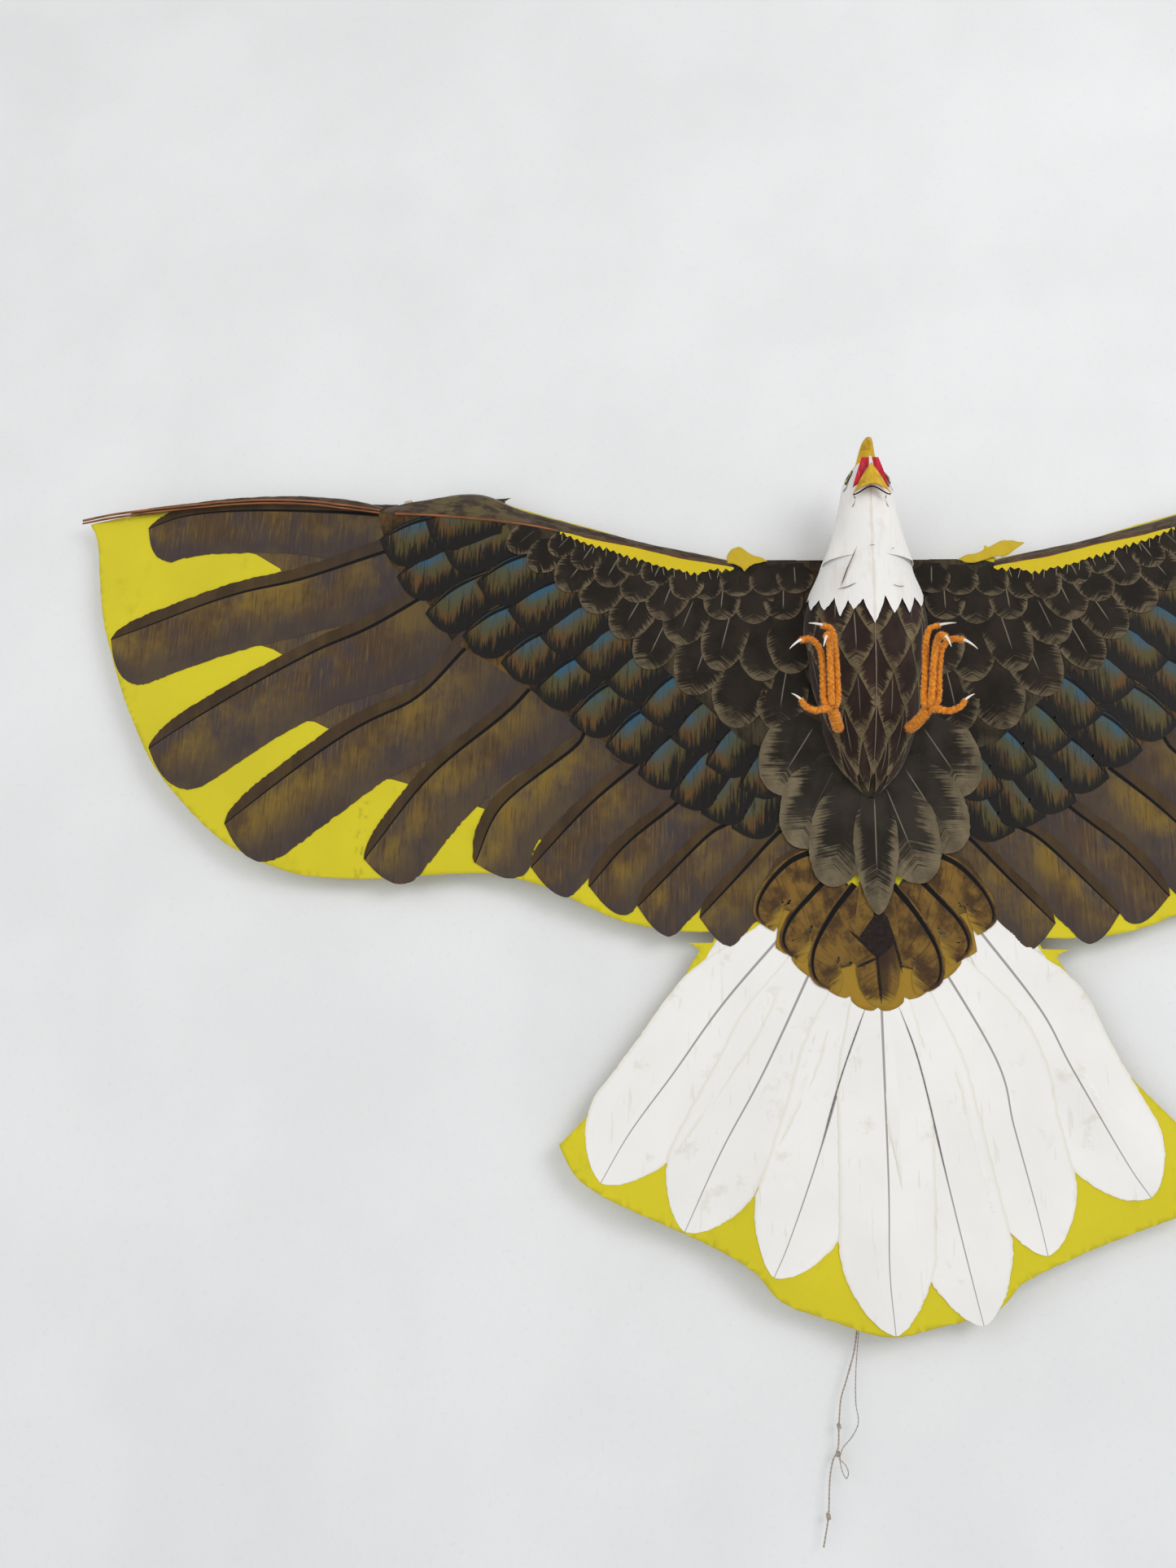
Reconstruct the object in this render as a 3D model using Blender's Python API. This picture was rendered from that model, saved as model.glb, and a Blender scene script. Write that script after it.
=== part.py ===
"""Soft eagle kite with a hollow body, built from bamboo sticks, cloth sails, thread ties and chenille legs.

Metres, +Z up.  The kite hangs upright with its painted belly towards -Y and its head towards +Z.
The origin is on the flat back of the hanging block, which rests on the wall plane y = 0.
"""
import math

import bmesh
import bpy
from mathutils import Vector

# ---- driving dimensions -------------------------------------------------------------------------
HALF_SPAN = 0.750          # centre line to wing tip
KITE_LENGTH = 0.655        # shoulder line to the lowest point of the tail
DRAWN_HALF_SPAN = 0.750    # the sail outlines below are drawn for this half span
DRAWN_LENGTH = 0.655       # and for this length below the shoulders
DRAWN_BODY_HALF = 0.0525   # the head and legs are drawn for this half width of the body
DRAWN_BODY_DEPTH = 0.056   # and for this depth
DRAWN_STICK_R = 0.0021     # the tow line is drawn to pass behind sticks of this radius

CLOTH = 0.0012             # thickness of every sail
SAIL_BACK = -0.0174        # rear face of the sails
GAP = 0.0003               # clearance between pieces that touch
FOLD_GAP = 0.0040          # cloth left free on each side of a fold

STICK_R = 0.0021           # round bamboo of the wing edges and the tail
BAR_R = 0.0030             # shoulder bar
SPINE_R = 0.0025
STRIP_R = 0.0013           # thin bamboo strip that shows in front of each inner wing
HOOP_DEEP = 0.0022         # radial width of the body hoops
HOOP_TALL = 0.0026
SKIN = 0.0008              # wall of the stuffed body and head skins
TIE_WALL = 0.0011          # build-up of the thread ties
TIE_LENGTH = 0.0075
BEND_STEP = TIE_LENGTH + 0.0045   # straight run between two bends of a stick, with room for a tie on it

BLOCK_WIDE = 0.044
BLOCK_TALL = 0.036

BODY_HALF_WIDTH = 0.0525   # widest place of the body, just below the neck
BODY_DEPTH = 0.056         # how far the chest stands out of the sails
HEAD_LENGTH = 0.094        # neck joint to the top of the skull

CHENILLE_R = 0.0044
TOE_R = 0.0030
CLAW_R = 0.0010
CLAW_GAP = 0.0010

LINE_R = 0.00075
STRAND_R = 0.0005

SCALE_X = HALF_SPAN / DRAWN_HALF_SPAN
SCALE_Z = KITE_LENGTH / DRAWN_LENGTH
SCALE_BODY = BODY_HALF_WIDTH / DRAWN_BODY_HALF
SCALE_DEPTH = BODY_DEPTH / DRAWN_BODY_DEPTH

SAIL_FRONT = SAIL_BACK - CLOTH
FOLD_Y = SAIL_BACK + 0.0009
TIE_ROOM = TIE_WALL + 2 * GAP              # keeps the ties round the sticks clear of the cloth
STICK_Y = SAIL_BACK + STICK_R + TIE_ROOM
BAR_Y = SAIL_BACK + BAR_R + TIE_ROOM
SPINE_Y = BAR_Y + BAR_R + GAP + SPINE_R
SHOULDER_X = 0.105 * SCALE_X
WRIST_X = 0.447 * SCALE_X
TAIL_Z = -0.350 * SCALE_Z
BAR_Z = -0.005
STRIP_Y = SAIL_FRONT - GAP - STRIP_R
WRIST_TOP = 0.0575 * SCALE_Z       # ends of the seam between the inner and outer sail
WRIST_LOW = -0.3035 * SCALE_Z
FLAP_TOP = -0.3545                 # upper edge of the flap over the tail's root, as drawn

# ---- outlines, drawn as (distance from the centre line, height) -----------------------------------
LEADING_INNER = [(0.121, 0.000), (0.160, 0.009), (0.200, 0.018), (0.240, 0.031), (0.279, 0.043),
                 (0.318, 0.055), (0.350, 0.067), (0.374, 0.070), (0.410, 0.065)]
LEADING_OUTER = [(0.485, 0.060), (0.528, 0.065), (0.588, 0.064), (0.665, 0.055), (0.715, 0.048)]
LOWER_STICK = [(0.140, -0.001), (0.171, 0.005), (0.200, 0.012), (0.253, 0.0245), (0.301, 0.0355),
               (0.342, 0.042), (0.405, 0.0485), (0.438, 0.050)]
TIP_STICK = [(0.456, 0.058), (0.485, 0.064), (0.528, 0.069), (0.588, 0.068), (0.665, 0.059),
             (0.718, 0.052), (0.748, 0.046)]
TRAILING_OUTER = [(0.739, 0.042), (0.729, 0.022), (0.722, -0.015), (0.713, -0.056), (0.698, -0.097),
                  (0.683, -0.133), (0.668, -0.162), (0.645, -0.200), (0.612, -0.237), (0.578, -0.267),
                  (0.546, -0.285), (0.507, -0.299), (0.475, -0.303)]
TRAILING_INNER = [(0.420, -0.303), (0.372, -0.299), (0.332, -0.297), (0.300, -0.303), (0.267, -0.314),
                  (0.227, -0.332), (0.195, -0.341), (0.160, -0.345)]
TAIL_EDGE = [(0.136, -0.354), (0.147, -0.361), (0.168, -0.398), (0.196, -0.451), (0.229, -0.488),
             (0.261, -0.522)]
TAIL_HEM = [(0.249, -0.543), (0.229, -0.558), (0.185, -0.576), (0.140, -0.594), (0.104, -0.612),
            (0.082, -0.634), (0.044, -0.646)]
SHOULDER_TAB = [(0.0055, -0.0085), (0.0165, -0.0035), (0.0300, 0.0040), (0.0180, 0.0095), (0.0070, 0.0120),
                (0.0030, 0.0020)]      # measured outwards from the shoulder fold
FLAP_LOBES = [(0.096, -0.336), (0.070, -0.362), (0.045, -0.382), (0.022, -0.396)]
FLAP_TIP = (0.0, -0.405)

# body sections from the neck joint down: height, half width share, depth share
NECK_Z = -0.020
BODY_SECTIONS = [(-0.020, 0.770, 0.98), (-0.040, 0.900, 1.00), (-0.062, 1.000, 0.98),
                 (-0.092, 0.985, 0.93), (-0.130, 0.865, 0.84), (-0.165, 0.745, 0.70),
                 (-0.192, 0.560, 0.50), (-0.212, 0.330, 0.28), (-0.226, 0.080, 0.10)]
# head sections: share of the head length, half width, front and rear face
HEAD_SECTIONS = [(0.00, 0.0404, -0.0735, -0.0200), (0.20, 0.0340, -0.0755, -0.0215),
                 (0.42, 0.0285, -0.0765, -0.0250), (0.62, 0.0252, -0.0770, -0.0290),
                 (0.80, 0.0228, -0.0755, -0.0340), (0.93, 0.0195, -0.0725, -0.0400),
                 (1.00, 0.0130, -0.0680, -0.0480)]
# rings of the upper beak: distance forward, height over the skull, half width, half depth, tilt
BEAK_RINGS = [(-0.0580, GAP, 0.0115, 0.0085, 0.0), (-0.0600, 0.0060, 0.0100, 0.0085, 0.1),
              (-0.0640, 0.0115, 0.0075, 0.0070, 0.5), (-0.0720, 0.0150, 0.0048, 0.0042, 1.1),
              (-0.0790, 0.0135, 0.0022, 0.0022, 1.7), (-0.0825, 0.0095, 0.0007, 0.0009, 2.2)]
# plates of the open mouth: distance across and height over the jaw corner
MOUTH_LINING = [(-0.0165, 0.003), (0.0165, 0.003), (0.0125, 0.022), (0.0070, 0.038), (-0.0070, 0.038),
                (-0.0125, 0.022)]
LOWER_BEAK = [(-0.0160, 0.0), (-0.0085, 0.0055), (0.0, 0.0075), (0.0085, 0.0055), (0.0160, 0.0),
              (0.0115, 0.0160), (0.0, 0.0290), (-0.0115, 0.0160)]
TONGUE = [(-0.0028, 0.0240), (0.0028, 0.0240), (0.0028, 0.0340), (-0.0028, 0.0340)]
MOUTH_FRONT = -0.0775      # face of the head behind the mouth
JAW_DROP = 0.043           # jaw corner below the top of the skull
LINING_THICK = 0.0030
JAW_THICK = 0.0055
TONGUE_THICK = 0.0015
HOOPS = [("neck_hoop", -0.030), ("chest_hoop", -0.075), ("waist_hoop", -0.125), ("vent_hoop", -0.170)]

LEG_FOLD = (0.0300, -0.0505, -0.1715)
LEG_STEM = [(0.0300, -0.0490, -0.1715), (0.0325, -0.0600, -0.1715), (0.0358, -0.0720, -0.1695),
            (0.0392, -0.0815, -0.1650)]
# each toe is a route and the point of its claw
TOES = [("inner", [(0.0352, -0.0865, -0.1590), (0.0362, -0.0925, -0.1330), (0.0372, -0.0940, -0.1130),
                   (0.0400, -0.0965, -0.1010), (0.0480, -0.1000, -0.0985)], (0.0600, -0.1060, -0.0990)),
        ("middle", [(0.0407, -0.0905, -0.1570), (0.0418, -0.0975, -0.1330), (0.0430, -0.1040, -0.1180),
                    (0.0450, -0.1130, -0.1130), (0.0475, -0.1200, -0.1170)], (0.0505, -0.1245, -0.1275)),
        ("outer", [(0.0462, -0.0865, -0.1590), (0.0474, -0.0925, -0.1330), (0.0500, -0.0945, -0.1170),
                   (0.0575, -0.0985, -0.1105), (0.0660, -0.1030, -0.1130)], (0.0760, -0.1060, -0.1220)),
        ("hind", [(0.0470, -0.0885, -0.1680), (0.0540, -0.0905, -0.1700), (0.0620, -0.0930, -0.1675),
                  (0.0665, -0.0950, -0.1620)], (0.0740, -0.0960, -0.1570))]

# route of the tow line behind the tail, then hanging free below it
LINE_ROUTE = [(-0.0060, -0.0075, -0.3470), (-0.0075, -0.0068, -0.4100), (-0.0110, -0.0062, -0.4900),
              (-0.0150, -0.0060, -0.5700), (-0.0200, -0.0062, -0.6300), (-0.0245, -0.0064, -0.6650),
              (-0.0315, -0.0064, -0.6890), (-0.0365, -0.0064, -0.7040), (-0.0385, -0.0064, -0.7230),
              (-0.0395, -0.0064, -0.7380), (-0.0440, -0.0064, -0.7480), (-0.0465, -0.0064, -0.7620),
              (-0.0480, -0.0064, -0.7850), (-0.0520, -0.0064, -0.8060)]
STRAND_ROUTE = [(-0.0030, -0.0110, -0.3470), (-0.0050, -0.0108, -0.4100), (-0.0090, -0.0105, -0.4900),
                (-0.0140, -0.0102, -0.5700), (-0.0190, -0.0098, -0.6300), (-0.0225, -0.0096, -0.6600),
                (-0.0250, -0.0094, -0.6850), (-0.0255, -0.0092, -0.7050), (-0.0240, -0.0090, -0.7190),
                (-0.0290, -0.0090, -0.7290), (-0.0360, -0.0090, -0.7370), (-0.0385, -0.0090, -0.7440),
                (-0.0375, -0.0090, -0.7520), (-0.0345, -0.0090, -0.7580), (-0.0325, -0.0090, -0.7545),
                (-0.0345, -0.0090, -0.7490), (-0.0395, -0.0086, -0.7450)]

COLOURS = {"cloth_brown": (0.060, 0.042, 0.026), "cloth_yellow": (0.62, 0.55, 0.035),
           "cloth_white": (0.84, 0.83, 0.80), "bamboo": (0.33, 0.17, 0.08), "wood": (0.42, 0.27, 0.14),
           "thread": (0.55, 0.48, 0.38), "beak": (0.62, 0.46, 0.06), "mouth": (0.45, 0.03, 0.05),
           "chenille": (0.82, 0.33, 0.02), "claw": (0.80, 0.77, 0.70), "line": (0.48, 0.43, 0.38)}
ROUGHNESS = {"bamboo": 0.5, "wood": 0.6, "claw": 0.35}


# ---- helpers --------------------------------------------------------------------------------------
def clear_scene():
    for item in list(bpy.data.objects):
        bpy.data.objects.remove(item, do_unlink=True)


def material(name):
    made = bpy.data.materials.get(name)
    if made is None:
        made = bpy.data.materials.new(name)
        made.use_nodes = True
        shader = made.node_tree.nodes["Principled BSDF"]
        shader.inputs["Base Color"].default_value = (*COLOURS[name], 1.0)
        shader.inputs["Roughness"].default_value = ROUGHNESS.get(name, 0.85)
        shader.inputs["Metallic"].default_value = 0.0
    return made


def drawn(points, side=1):
    """Outline points at the kite's size, on one side of the centre line."""
    return [(side * x * SCALE_X, z * SCALE_Z) for x, z in points]


def link(name, data, colour, parent=None):
    item = bpy.data.objects.new(name, data)
    bpy.context.collection.objects.link(item)
    data.materials.append(material(colour))
    if parent is not None:
        item.parent = parent
        item.location = -Vector(parent.location)
    return item


def joint_empty(name, place):
    empty = bpy.data.objects.new(name, None)
    empty.location = place
    empty.empty_display_size = 0.02
    bpy.context.collection.objects.link(empty)
    return empty


def finish_mesh(name, shape, colour, parent, smooth_angle=None):
    bmesh.ops.recalc_face_normals(shape, faces=shape.faces)
    mesh = bpy.data.meshes.new(name)
    shape.to_mesh(mesh)
    shape.free()
    if smooth_angle is not None:
        mesh.shade_smooth()
        mesh.set_sharp_from_angle(angle=math.radians(smooth_angle))
    return link(name, mesh, colour, parent)


def plate(name, outline, front, back, colour, parent=None):
    """A flat sheet cut to an outline in the XZ plane."""
    shape = bmesh.new()
    face = shape.faces.new([shape.verts.new((x, back, z)) for x, z in outline])
    grown = bmesh.ops.extrude_face_region(shape, geom=[face])
    moved = [v for v in grown["geom"] if isinstance(v, bmesh.types.BMVert)]
    bmesh.ops.translate(shape, verts=moved, vec=(0.0, front - back, 0.0))
    return finish_mesh(name, shape, colour, parent)


def sail(name, outline, colour, parent=None, forward=0.0):
    return plate(name, outline, SAIL_FRONT - forward, SAIL_BACK - forward, colour, parent)


def smooth_path(points, spacing):
    """Points about one spacing apart on a Catmull-Rom curve through the given ones."""
    knots = [Vector(p) for p in points]
    knots = [2 * knots[0] - knots[1]] + knots + [2 * knots[-1] - knots[-2]]
    path = []
    for a, b, c, d in zip(knots, knots[1:], knots[2:], knots[3:]):
        steps = max(1, round((c - b).length / spacing))
        for step in range(steps):
            t = step / steps
            path.append(0.5 * ((2 * b) + (c - a) * t + (2 * a - 5 * b + 4 * c - d) * t * t
                               + (3 * b - a - 3 * c + d) * t ** 3))
    path.append(knots[-2].copy())
    return path


def tube(name, points, radius, colour, parent=None, spacing=BEND_STEP, sides=2, end_radius=None):
    """A round stick, stem or cord along a smooth path, with filled ends."""
    path = smooth_path(points, spacing)
    data = bpy.data.curves.new(name, "CURVE")
    data.dimensions = "3D"
    data.bevel_depth = radius
    data.bevel_resolution = sides
    data.use_fill_caps = True
    spline = data.splines.new("POLY")
    spline.points.add(len(path) - 1)
    taper = 1.0 if end_radius is None else end_radius / radius
    for index, (point, place) in enumerate(zip(spline.points, path)):
        point.co = (*place, 1.0)
        point.radius = 1.0 + (taper - 1.0) * index / (len(path) - 1)
    return link(name, data, colour, parent)


def loft(name, rings, colour, parent=None, closed_ends=True, smooth_angle=50):
    """A skin over rings of equal point count, with a face across each end."""
    shape = bmesh.new()
    made = [[shape.verts.new(p) for p in ring] for ring in rings]
    count = len(rings[0])
    for low, high in zip(made, made[1:]):
        for i in range(count):
            j = (i + 1) % count
            shape.faces.new((low[i], low[j], high[j], high[i]))
    if closed_ends:
        shape.faces.new(made[0])
        shape.faces.new(made[-1])
    return finish_mesh(name, shape, colour, parent, smooth_angle)


def tie(name, centre, direction, inner, colour="thread", parent=None, turns=4, sides=12):
    """A collar of wound thread round a stick: a ring with one ridge for each turn."""
    along = Vector(direction).normalized()
    across = along.orthogonal().normalized()
    third = along.cross(across)
    profile = [(inner, -TIE_LENGTH / 2), (inner, TIE_LENGTH / 2)]
    for turn in range(turns, 0, -1):
        top = TIE_LENGTH * (turn / turns - 0.5)
        profile.append((inner + 0.6 * TIE_WALL, top))
        profile.append((inner + TIE_WALL, top - TIE_LENGTH / turns / 2))
    profile.append((inner + 0.6 * TIE_WALL, -TIE_LENGTH / 2))
    shape = bmesh.new()
    rings = []
    for side in range(sides):
        angle = 2 * math.pi * side / sides
        out = across * math.cos(angle) + third * math.sin(angle)
        rings.append([shape.verts.new(Vector(centre) + out * r + along * h) for r, h in profile])
    for side in range(sides):
        ring, following = rings[side], rings[(side + 1) % sides]
        for i in range(len(profile)):
            j = (i + 1) % len(profile)
            shape.faces.new((ring[i], ring[j], following[j], following[i]))
    return finish_mesh(name, shape, colour, parent, 35)


def tie_on_stick(name, points, run, parent):
    """A tie round a wing stick, centred on one straight run of the stick's own path."""
    path = smooth_path(points, BEND_STEP)
    start = path[run]
    end = path[run + 1]
    tie(name, start.lerp(end, 0.5), end - start, STICK_R + GAP, parent=parent)


def body_section(z):
    """Half width and depth of the stuffed body at a height."""
    rows = BODY_SECTIONS
    for (z0, w0, d0), (z1, w1, d1) in zip(rows, rows[1:]):
        if z0 >= z >= z1:
            t = (z0 - z) / (z0 - z1)
            return BODY_HALF_WIDTH * (w0 + t * (w1 - w0)), BODY_DEPTH * (d0 + t * (d1 - d0))
    raise ValueError("height outside the body")


def body_arc(z, inset, points=17):
    """The body's front from one flank to the other, moved inwards by an inset."""
    half, depth = body_section(z)
    half = max(half - inset, 0.0012)
    depth = max(depth - inset, 0.0012)
    base = SAIL_FRONT - GAP
    arc = []
    for i in range(points):
        angle = math.pi * i / (points - 1)
        keel = 0.08 * (1.0 - abs(math.cos(angle))) ** 2
        arc.append((half * math.cos(angle), base - depth * (0.92 * math.sin(angle) ** 0.9 + keel), z))
    return arc


# ---- pieces ---------------------------------------------------------------------------------------
def build_frame():
    """Hanging block, spine, shoulder bar and their thread ties."""
    front = BAR_Y - 0.3 * BAR_R
    block = plate("hanging_block", [(-BLOCK_WIDE / 2, -BLOCK_TALL / 2), (BLOCK_WIDE / 2, -BLOCK_TALL / 2),
                                    (BLOCK_WIDE / 2, BLOCK_TALL / 2), (-BLOCK_WIDE / 2, BLOCK_TALL / 2)],
                  front, 0.0, "wood")
    slot = SPINE_R + GAP
    seat = BAR_R + GAP
    cuts = [("spine_slot", (-slot, slot), (SPINE_Y + slot, front - 0.01), (-BLOCK_TALL, BLOCK_TALL)),
            ("bar_seat", (-BLOCK_WIDE, BLOCK_WIDE), (BAR_Y + seat, front - 0.01),
             (BAR_Z - seat, BAR_Z + seat))]
    for name, (x0, x1), (y0, y1), (z0, z1) in cuts:
        cutter = plate(name, [(x0, z0), (x1, z0), (x1, z1), (x0, z1)], y1, y0, "wood")
        cutter.hide_render = True
        cutter.display_type = "WIRE"
        cut = block.modifiers.new(name, "BOOLEAN")
        cut.operation = "DIFFERENCE"
        cut.solver = "EXACT"
        cut.object = cutter
    spine_end = TAIL_Z + 0.012
    tube("spine_stick", [(0, SPINE_Y, BLOCK_TALL / 2 + 0.006), (0, SPINE_Y, spine_end)], SPINE_R, "bamboo",
         spacing=0.05)
    end = SHOULDER_X - 0.007
    tube("shoulder_bar", [(-end, BAR_Y, BAR_Z), (end, BAR_Y, BAR_Z)], BAR_R, "bamboo", spacing=0.05)
    for side, word in ((-1, "left"), (1, "right")):
        centre = (side * (end - TIE_LENGTH), BAR_Y, BAR_Z)
        tie(f"{word}_bar_tie", centre, (1, 0, 0), BAR_R + GAP)
    tie("spine_end_tie", (0, SPINE_Y, spine_end + TIE_LENGTH), (0, 0, 1), SPINE_R + GAP)


def build_body_sail():
    """The cloth panel between the two wing folds, down to the tail fold."""
    edge = SHOULDER_X - FOLD_GAP
    bottom = TAIL_Z + FOLD_GAP + GAP
    sail("body_sail", [(-edge, 0.0), (-edge, bottom), (edge, bottom), (edge, 0.0)], "cloth_brown")


def build_torso():
    """Hollow skin of the body, open at the back, and the bamboo hoops that hold it out."""
    rings = []
    heights = [row[0] for row in BODY_SECTIONS]
    heights = sorted(set(heights + [(a + b) / 2 for a, b in zip(heights, heights[1:])]), reverse=True)
    for z in heights:
        half = body_section(z)[0]
        wall = min(SKIN, 0.4 * half)
        rings.append(body_arc(z, 0.0) + body_arc(z, wall)[::-1])
    loft("body_skin", rings, "cloth_brown")
    for name, z in HOOPS:
        # a hoop fits the narrower of the two sections that it spans
        tight = min((z, z - HOOP_TALL), key=lambda height: body_section(height)[1])
        outer = body_arc(tight, SKIN + 2 * GAP)
        inner = body_arc(tight, SKIN + 2 * GAP + HOOP_DEEP)
        back = SAIL_FRONT - 2 * GAP
        half = outer[0][0]
        foot = inner[0][0]
        rim = [(x, y) for x, y, _ in outer if y < back - 1e-5]
        front = back - HOOP_DEEP
        core = [(x, y) for x, y, _ in inner if y < front - 1e-5]
        hoop(name, [(half, back)] + rim + [(-half, back)], [(foot, front)] + core + [(-foot, front)], z)


def hoop(name, outer, inner, z):
    """A flat ring between two outlines in the XY plane."""
    shape = bmesh.new()
    loops = []
    for outline in (outer, inner):
        edges = []
        verts = [shape.verts.new((x, y, z)) for x, y in outline]
        for a, b in zip(verts, verts[1:] + verts[:1]):
            edges.append(shape.edges.new((a, b)))
        loops += edges
    made = bmesh.ops.triangle_fill(shape, use_beauty=True, use_dissolve=False, edges=loops)
    faces = [f for f in made["geom"] if isinstance(f, bmesh.types.BMFace)]
    grown = bmesh.ops.extrude_face_region(shape, geom=faces)
    moved = [v for v in grown["geom"] if isinstance(v, bmesh.types.BMVert)]
    bmesh.ops.translate(shape, verts=moved, vec=(0.0, 0.0, -HOOP_TALL))
    return finish_mesh(name, shape, "bamboo", None)


def forward(y):
    """A drawn distance in front of the sails, fitted to the body's depth."""
    return SAIL_FRONT + (y - SAIL_FRONT) * SCALE_DEPTH


def head_ring(share, half, front, rear, inset, points=20):
    z = NECK_Z + GAP + share * HEAD_LENGTH
    middle = (forward(front) + forward(rear)) / 2
    deep = (forward(rear) - forward(front)) / 2 - inset
    return [((half * SCALE_BODY - inset) * math.cos(2 * math.pi * i / points),
             middle - deep * math.sin(2 * math.pi * i / points), z) for i in range(points)]


def build_head():
    """Hollow head, open at the neck, with an open beak."""
    outer = [head_ring(*row, 0.0) for row in HEAD_SECTIONS]
    inner = [head_ring(*row, SKIN) for row in HEAD_SECTIONS[:-1]]
    loft("head_skin", inner[::-1] + outer, "cloth_white", closed_ends=False)
    close_ends(bpy.data.objects["head_skin"])
    top = NECK_Z + GAP + HEAD_LENGTH
    rings = []
    for y, height, half, deep, lean in BEAK_RINGS:
        ring = []
        for i in range(14):
            angle = 2 * math.pi * i / 14
            out = -deep * SCALE_DEPTH * math.sin(angle)
            ring.append((half * SCALE_BODY * math.cos(angle), forward(y) + out * math.cos(lean),
                         top + height + out * math.sin(lean)))
        rings.append(ring)
    loft("upper_beak", rings, "beak")
    front = forward(MOUTH_FRONT)
    base = top - JAW_DROP

    def mouth_plate(name, outline, thick, colour):
        nonlocal front
        plate(name, [(x * SCALE_BODY, base + z) for x, z in outline], front - thick, front - GAP, colour)
        front -= thick

    mouth_plate("mouth_lining", MOUTH_LINING, LINING_THICK, "mouth")
    mouth_plate("lower_beak", LOWER_BEAK, JAW_THICK, "beak")
    mouth_plate("tongue", TONGUE, TONGUE_THICK, "cloth_white")


def close_ends(item):
    """Closes the two open rings of a cup: the neck rim and the crown's inner and outer caps."""
    shape = bmesh.new()
    shape.from_mesh(item.data)
    open_edges = [e for e in shape.edges if e.is_boundary]
    bmesh.ops.holes_fill(shape, edges=open_edges, sides=0)
    bmesh.ops.recalc_face_normals(shape, faces=shape.faces)
    shape.to_mesh(item.data)
    shape.free()


def build_wing(side, word):
    """Inner wing from the shoulder fold to the wrist, and the springy outer wing beyond it."""
    shoulder = joint_empty(f"{word}_shoulder_fold", (side * SHOULDER_X, FOLD_Y, 0.0))
    wrist = joint_empty(f"{word}_wrist_flex", (side * WRIST_X, FOLD_Y, 0.0))
    root_edge = SHOULDER_X + FOLD_GAP
    lead = drawn(LEADING_INNER, side)
    trail = drawn(TRAILING_INNER, side)
    wrist_in = side * (WRIST_X - 0.6 * FOLD_GAP)
    wrist_out = side * (WRIST_X + 0.6 * FOLD_GAP)
    inner = [(side * root_edge, -0.012)] + lead + [(wrist_in, WRIST_TOP), (wrist_in, WRIST_LOW)] + trail
    inner.append((side * root_edge, -0.3445 * SCALE_Z))
    sail(f"{word}_inner_sail", inner, "cloth_brown", shoulder)
    path = [(x, STICK_Y, z + 0.0015) for x, z in lead[1:] + [(side * (WRIST_X - 0.003), WRIST_TOP + 0.0015)]]
    start = (side * (SHOULDER_X + 0.0150), STICK_Y, -0.0005)
    tube(f"{word}_upper_spar", [start] + path, STICK_R, "bamboo", shoulder)
    low_path = [(x, STRIP_Y, z) for x, z in drawn(LOWER_STICK, side)]
    tube(f"{word}_lower_spar", low_path, STRIP_R, "bamboo", shoulder)
    tie_on_stick(f"{word}_wrist_tie", path, -3, shoulder)
    tab = [(side * (SHOULDER_X + SCALE_X * x), z) for x, z in SHOULDER_TAB]
    sail(f"{word}_shoulder_tab", tab, "cloth_yellow", shoulder, CLOTH + GAP)

    outer = [(wrist_out, WRIST_TOP)] + drawn(LEADING_OUTER, side) + drawn(TRAILING_OUTER, side)
    outer.append((wrist_out, WRIST_LOW))
    sail(f"{word}_outer_sail", outer, "cloth_yellow", wrist)
    tip = [(x, STICK_Y, z) for x, z in drawn(TIP_STICK, side)]
    tube(f"{word}_tip_spar", tip, STICK_R, "bamboo", wrist, end_radius=0.4 * STICK_R)
    tie_on_stick(f"{word}_tip_tie", tip, 1, wrist)


def flap_outline():
    """Scalloped lower edge of the cloth over the tail's root: one round lobe between two notches."""
    notches = [FLAP_TIP] + FLAP_LOBES[::-1]
    points = []
    for (x0, z0), (x1, z1) in zip(notches, notches[1:]):
        middle = Vector(((x0 + x1) / 2, (z0 + z1) / 2))
        edge = Vector((x1 - x0, z1 - z0))
        out = Vector((edge.y, -edge.x)).normalized()
        for step in range(5):
            angle = math.pi * step / 5
            place = middle - edge * 0.5 * math.cos(angle) + out * 0.006 * math.sin(angle)
            points.append((place.x, place.y))
    points.append(notches[-1])
    points = [p for p in points if p[1] < FLAP_TOP]
    width = points[-1][0]
    return points + [(width, FLAP_TOP)]


def build_tail():
    """Tail sail with edge, head and centre sticks, and the scalloped flap over its root."""
    fold = joint_empty("tail_fold", (0.0, FOLD_Y, TAIL_Z))
    right = drawn(TAIL_EDGE + TAIL_HEM, 1)
    left = drawn(TAIL_EDGE + TAIL_HEM, -1)
    sail("tail_sail", right + [(0.0, -KITE_LENGTH)] + left[::-1], "cloth_white", fold)
    for side, word in ((-1, "left"), (1, "right")):
        edge = [(x, STICK_Y, z) for x, z in drawn([(x - 0.0035, z) for x, z in TAIL_EDGE[1:]], side)]
        tube(f"tail_{word}_stick", edge, STICK_R, "bamboo", fold, end_radius=0.6 * STICK_R)
    head_z = TAIL_Z - 2 * FOLD_GAP
    head_x = 0.132 * SCALE_X
    tube("tail_head_stick", [(-head_x, STICK_Y, head_z), (head_x, STICK_Y, head_z)], STICK_R, "bamboo", fold,
         spacing=0.05)
    start = head_z - STICK_R - STICK_R - GAP
    tube("tail_centre_stick", [(0, STICK_Y, start), (0, STICK_Y, -KITE_LENGTH + 0.018)], STICK_R, "bamboo",
         fold, spacing=0.05, end_radius=0.6 * STICK_R)
    flap_right = flap_outline()
    flap_left = [(-x, z) for x, z in flap_right[1:]]
    flap = drawn(flap_right) + drawn(flap_left[::-1])
    sail("undertail_flap", flap, "cloth_brown", fold, CLOTH + GAP)


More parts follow.
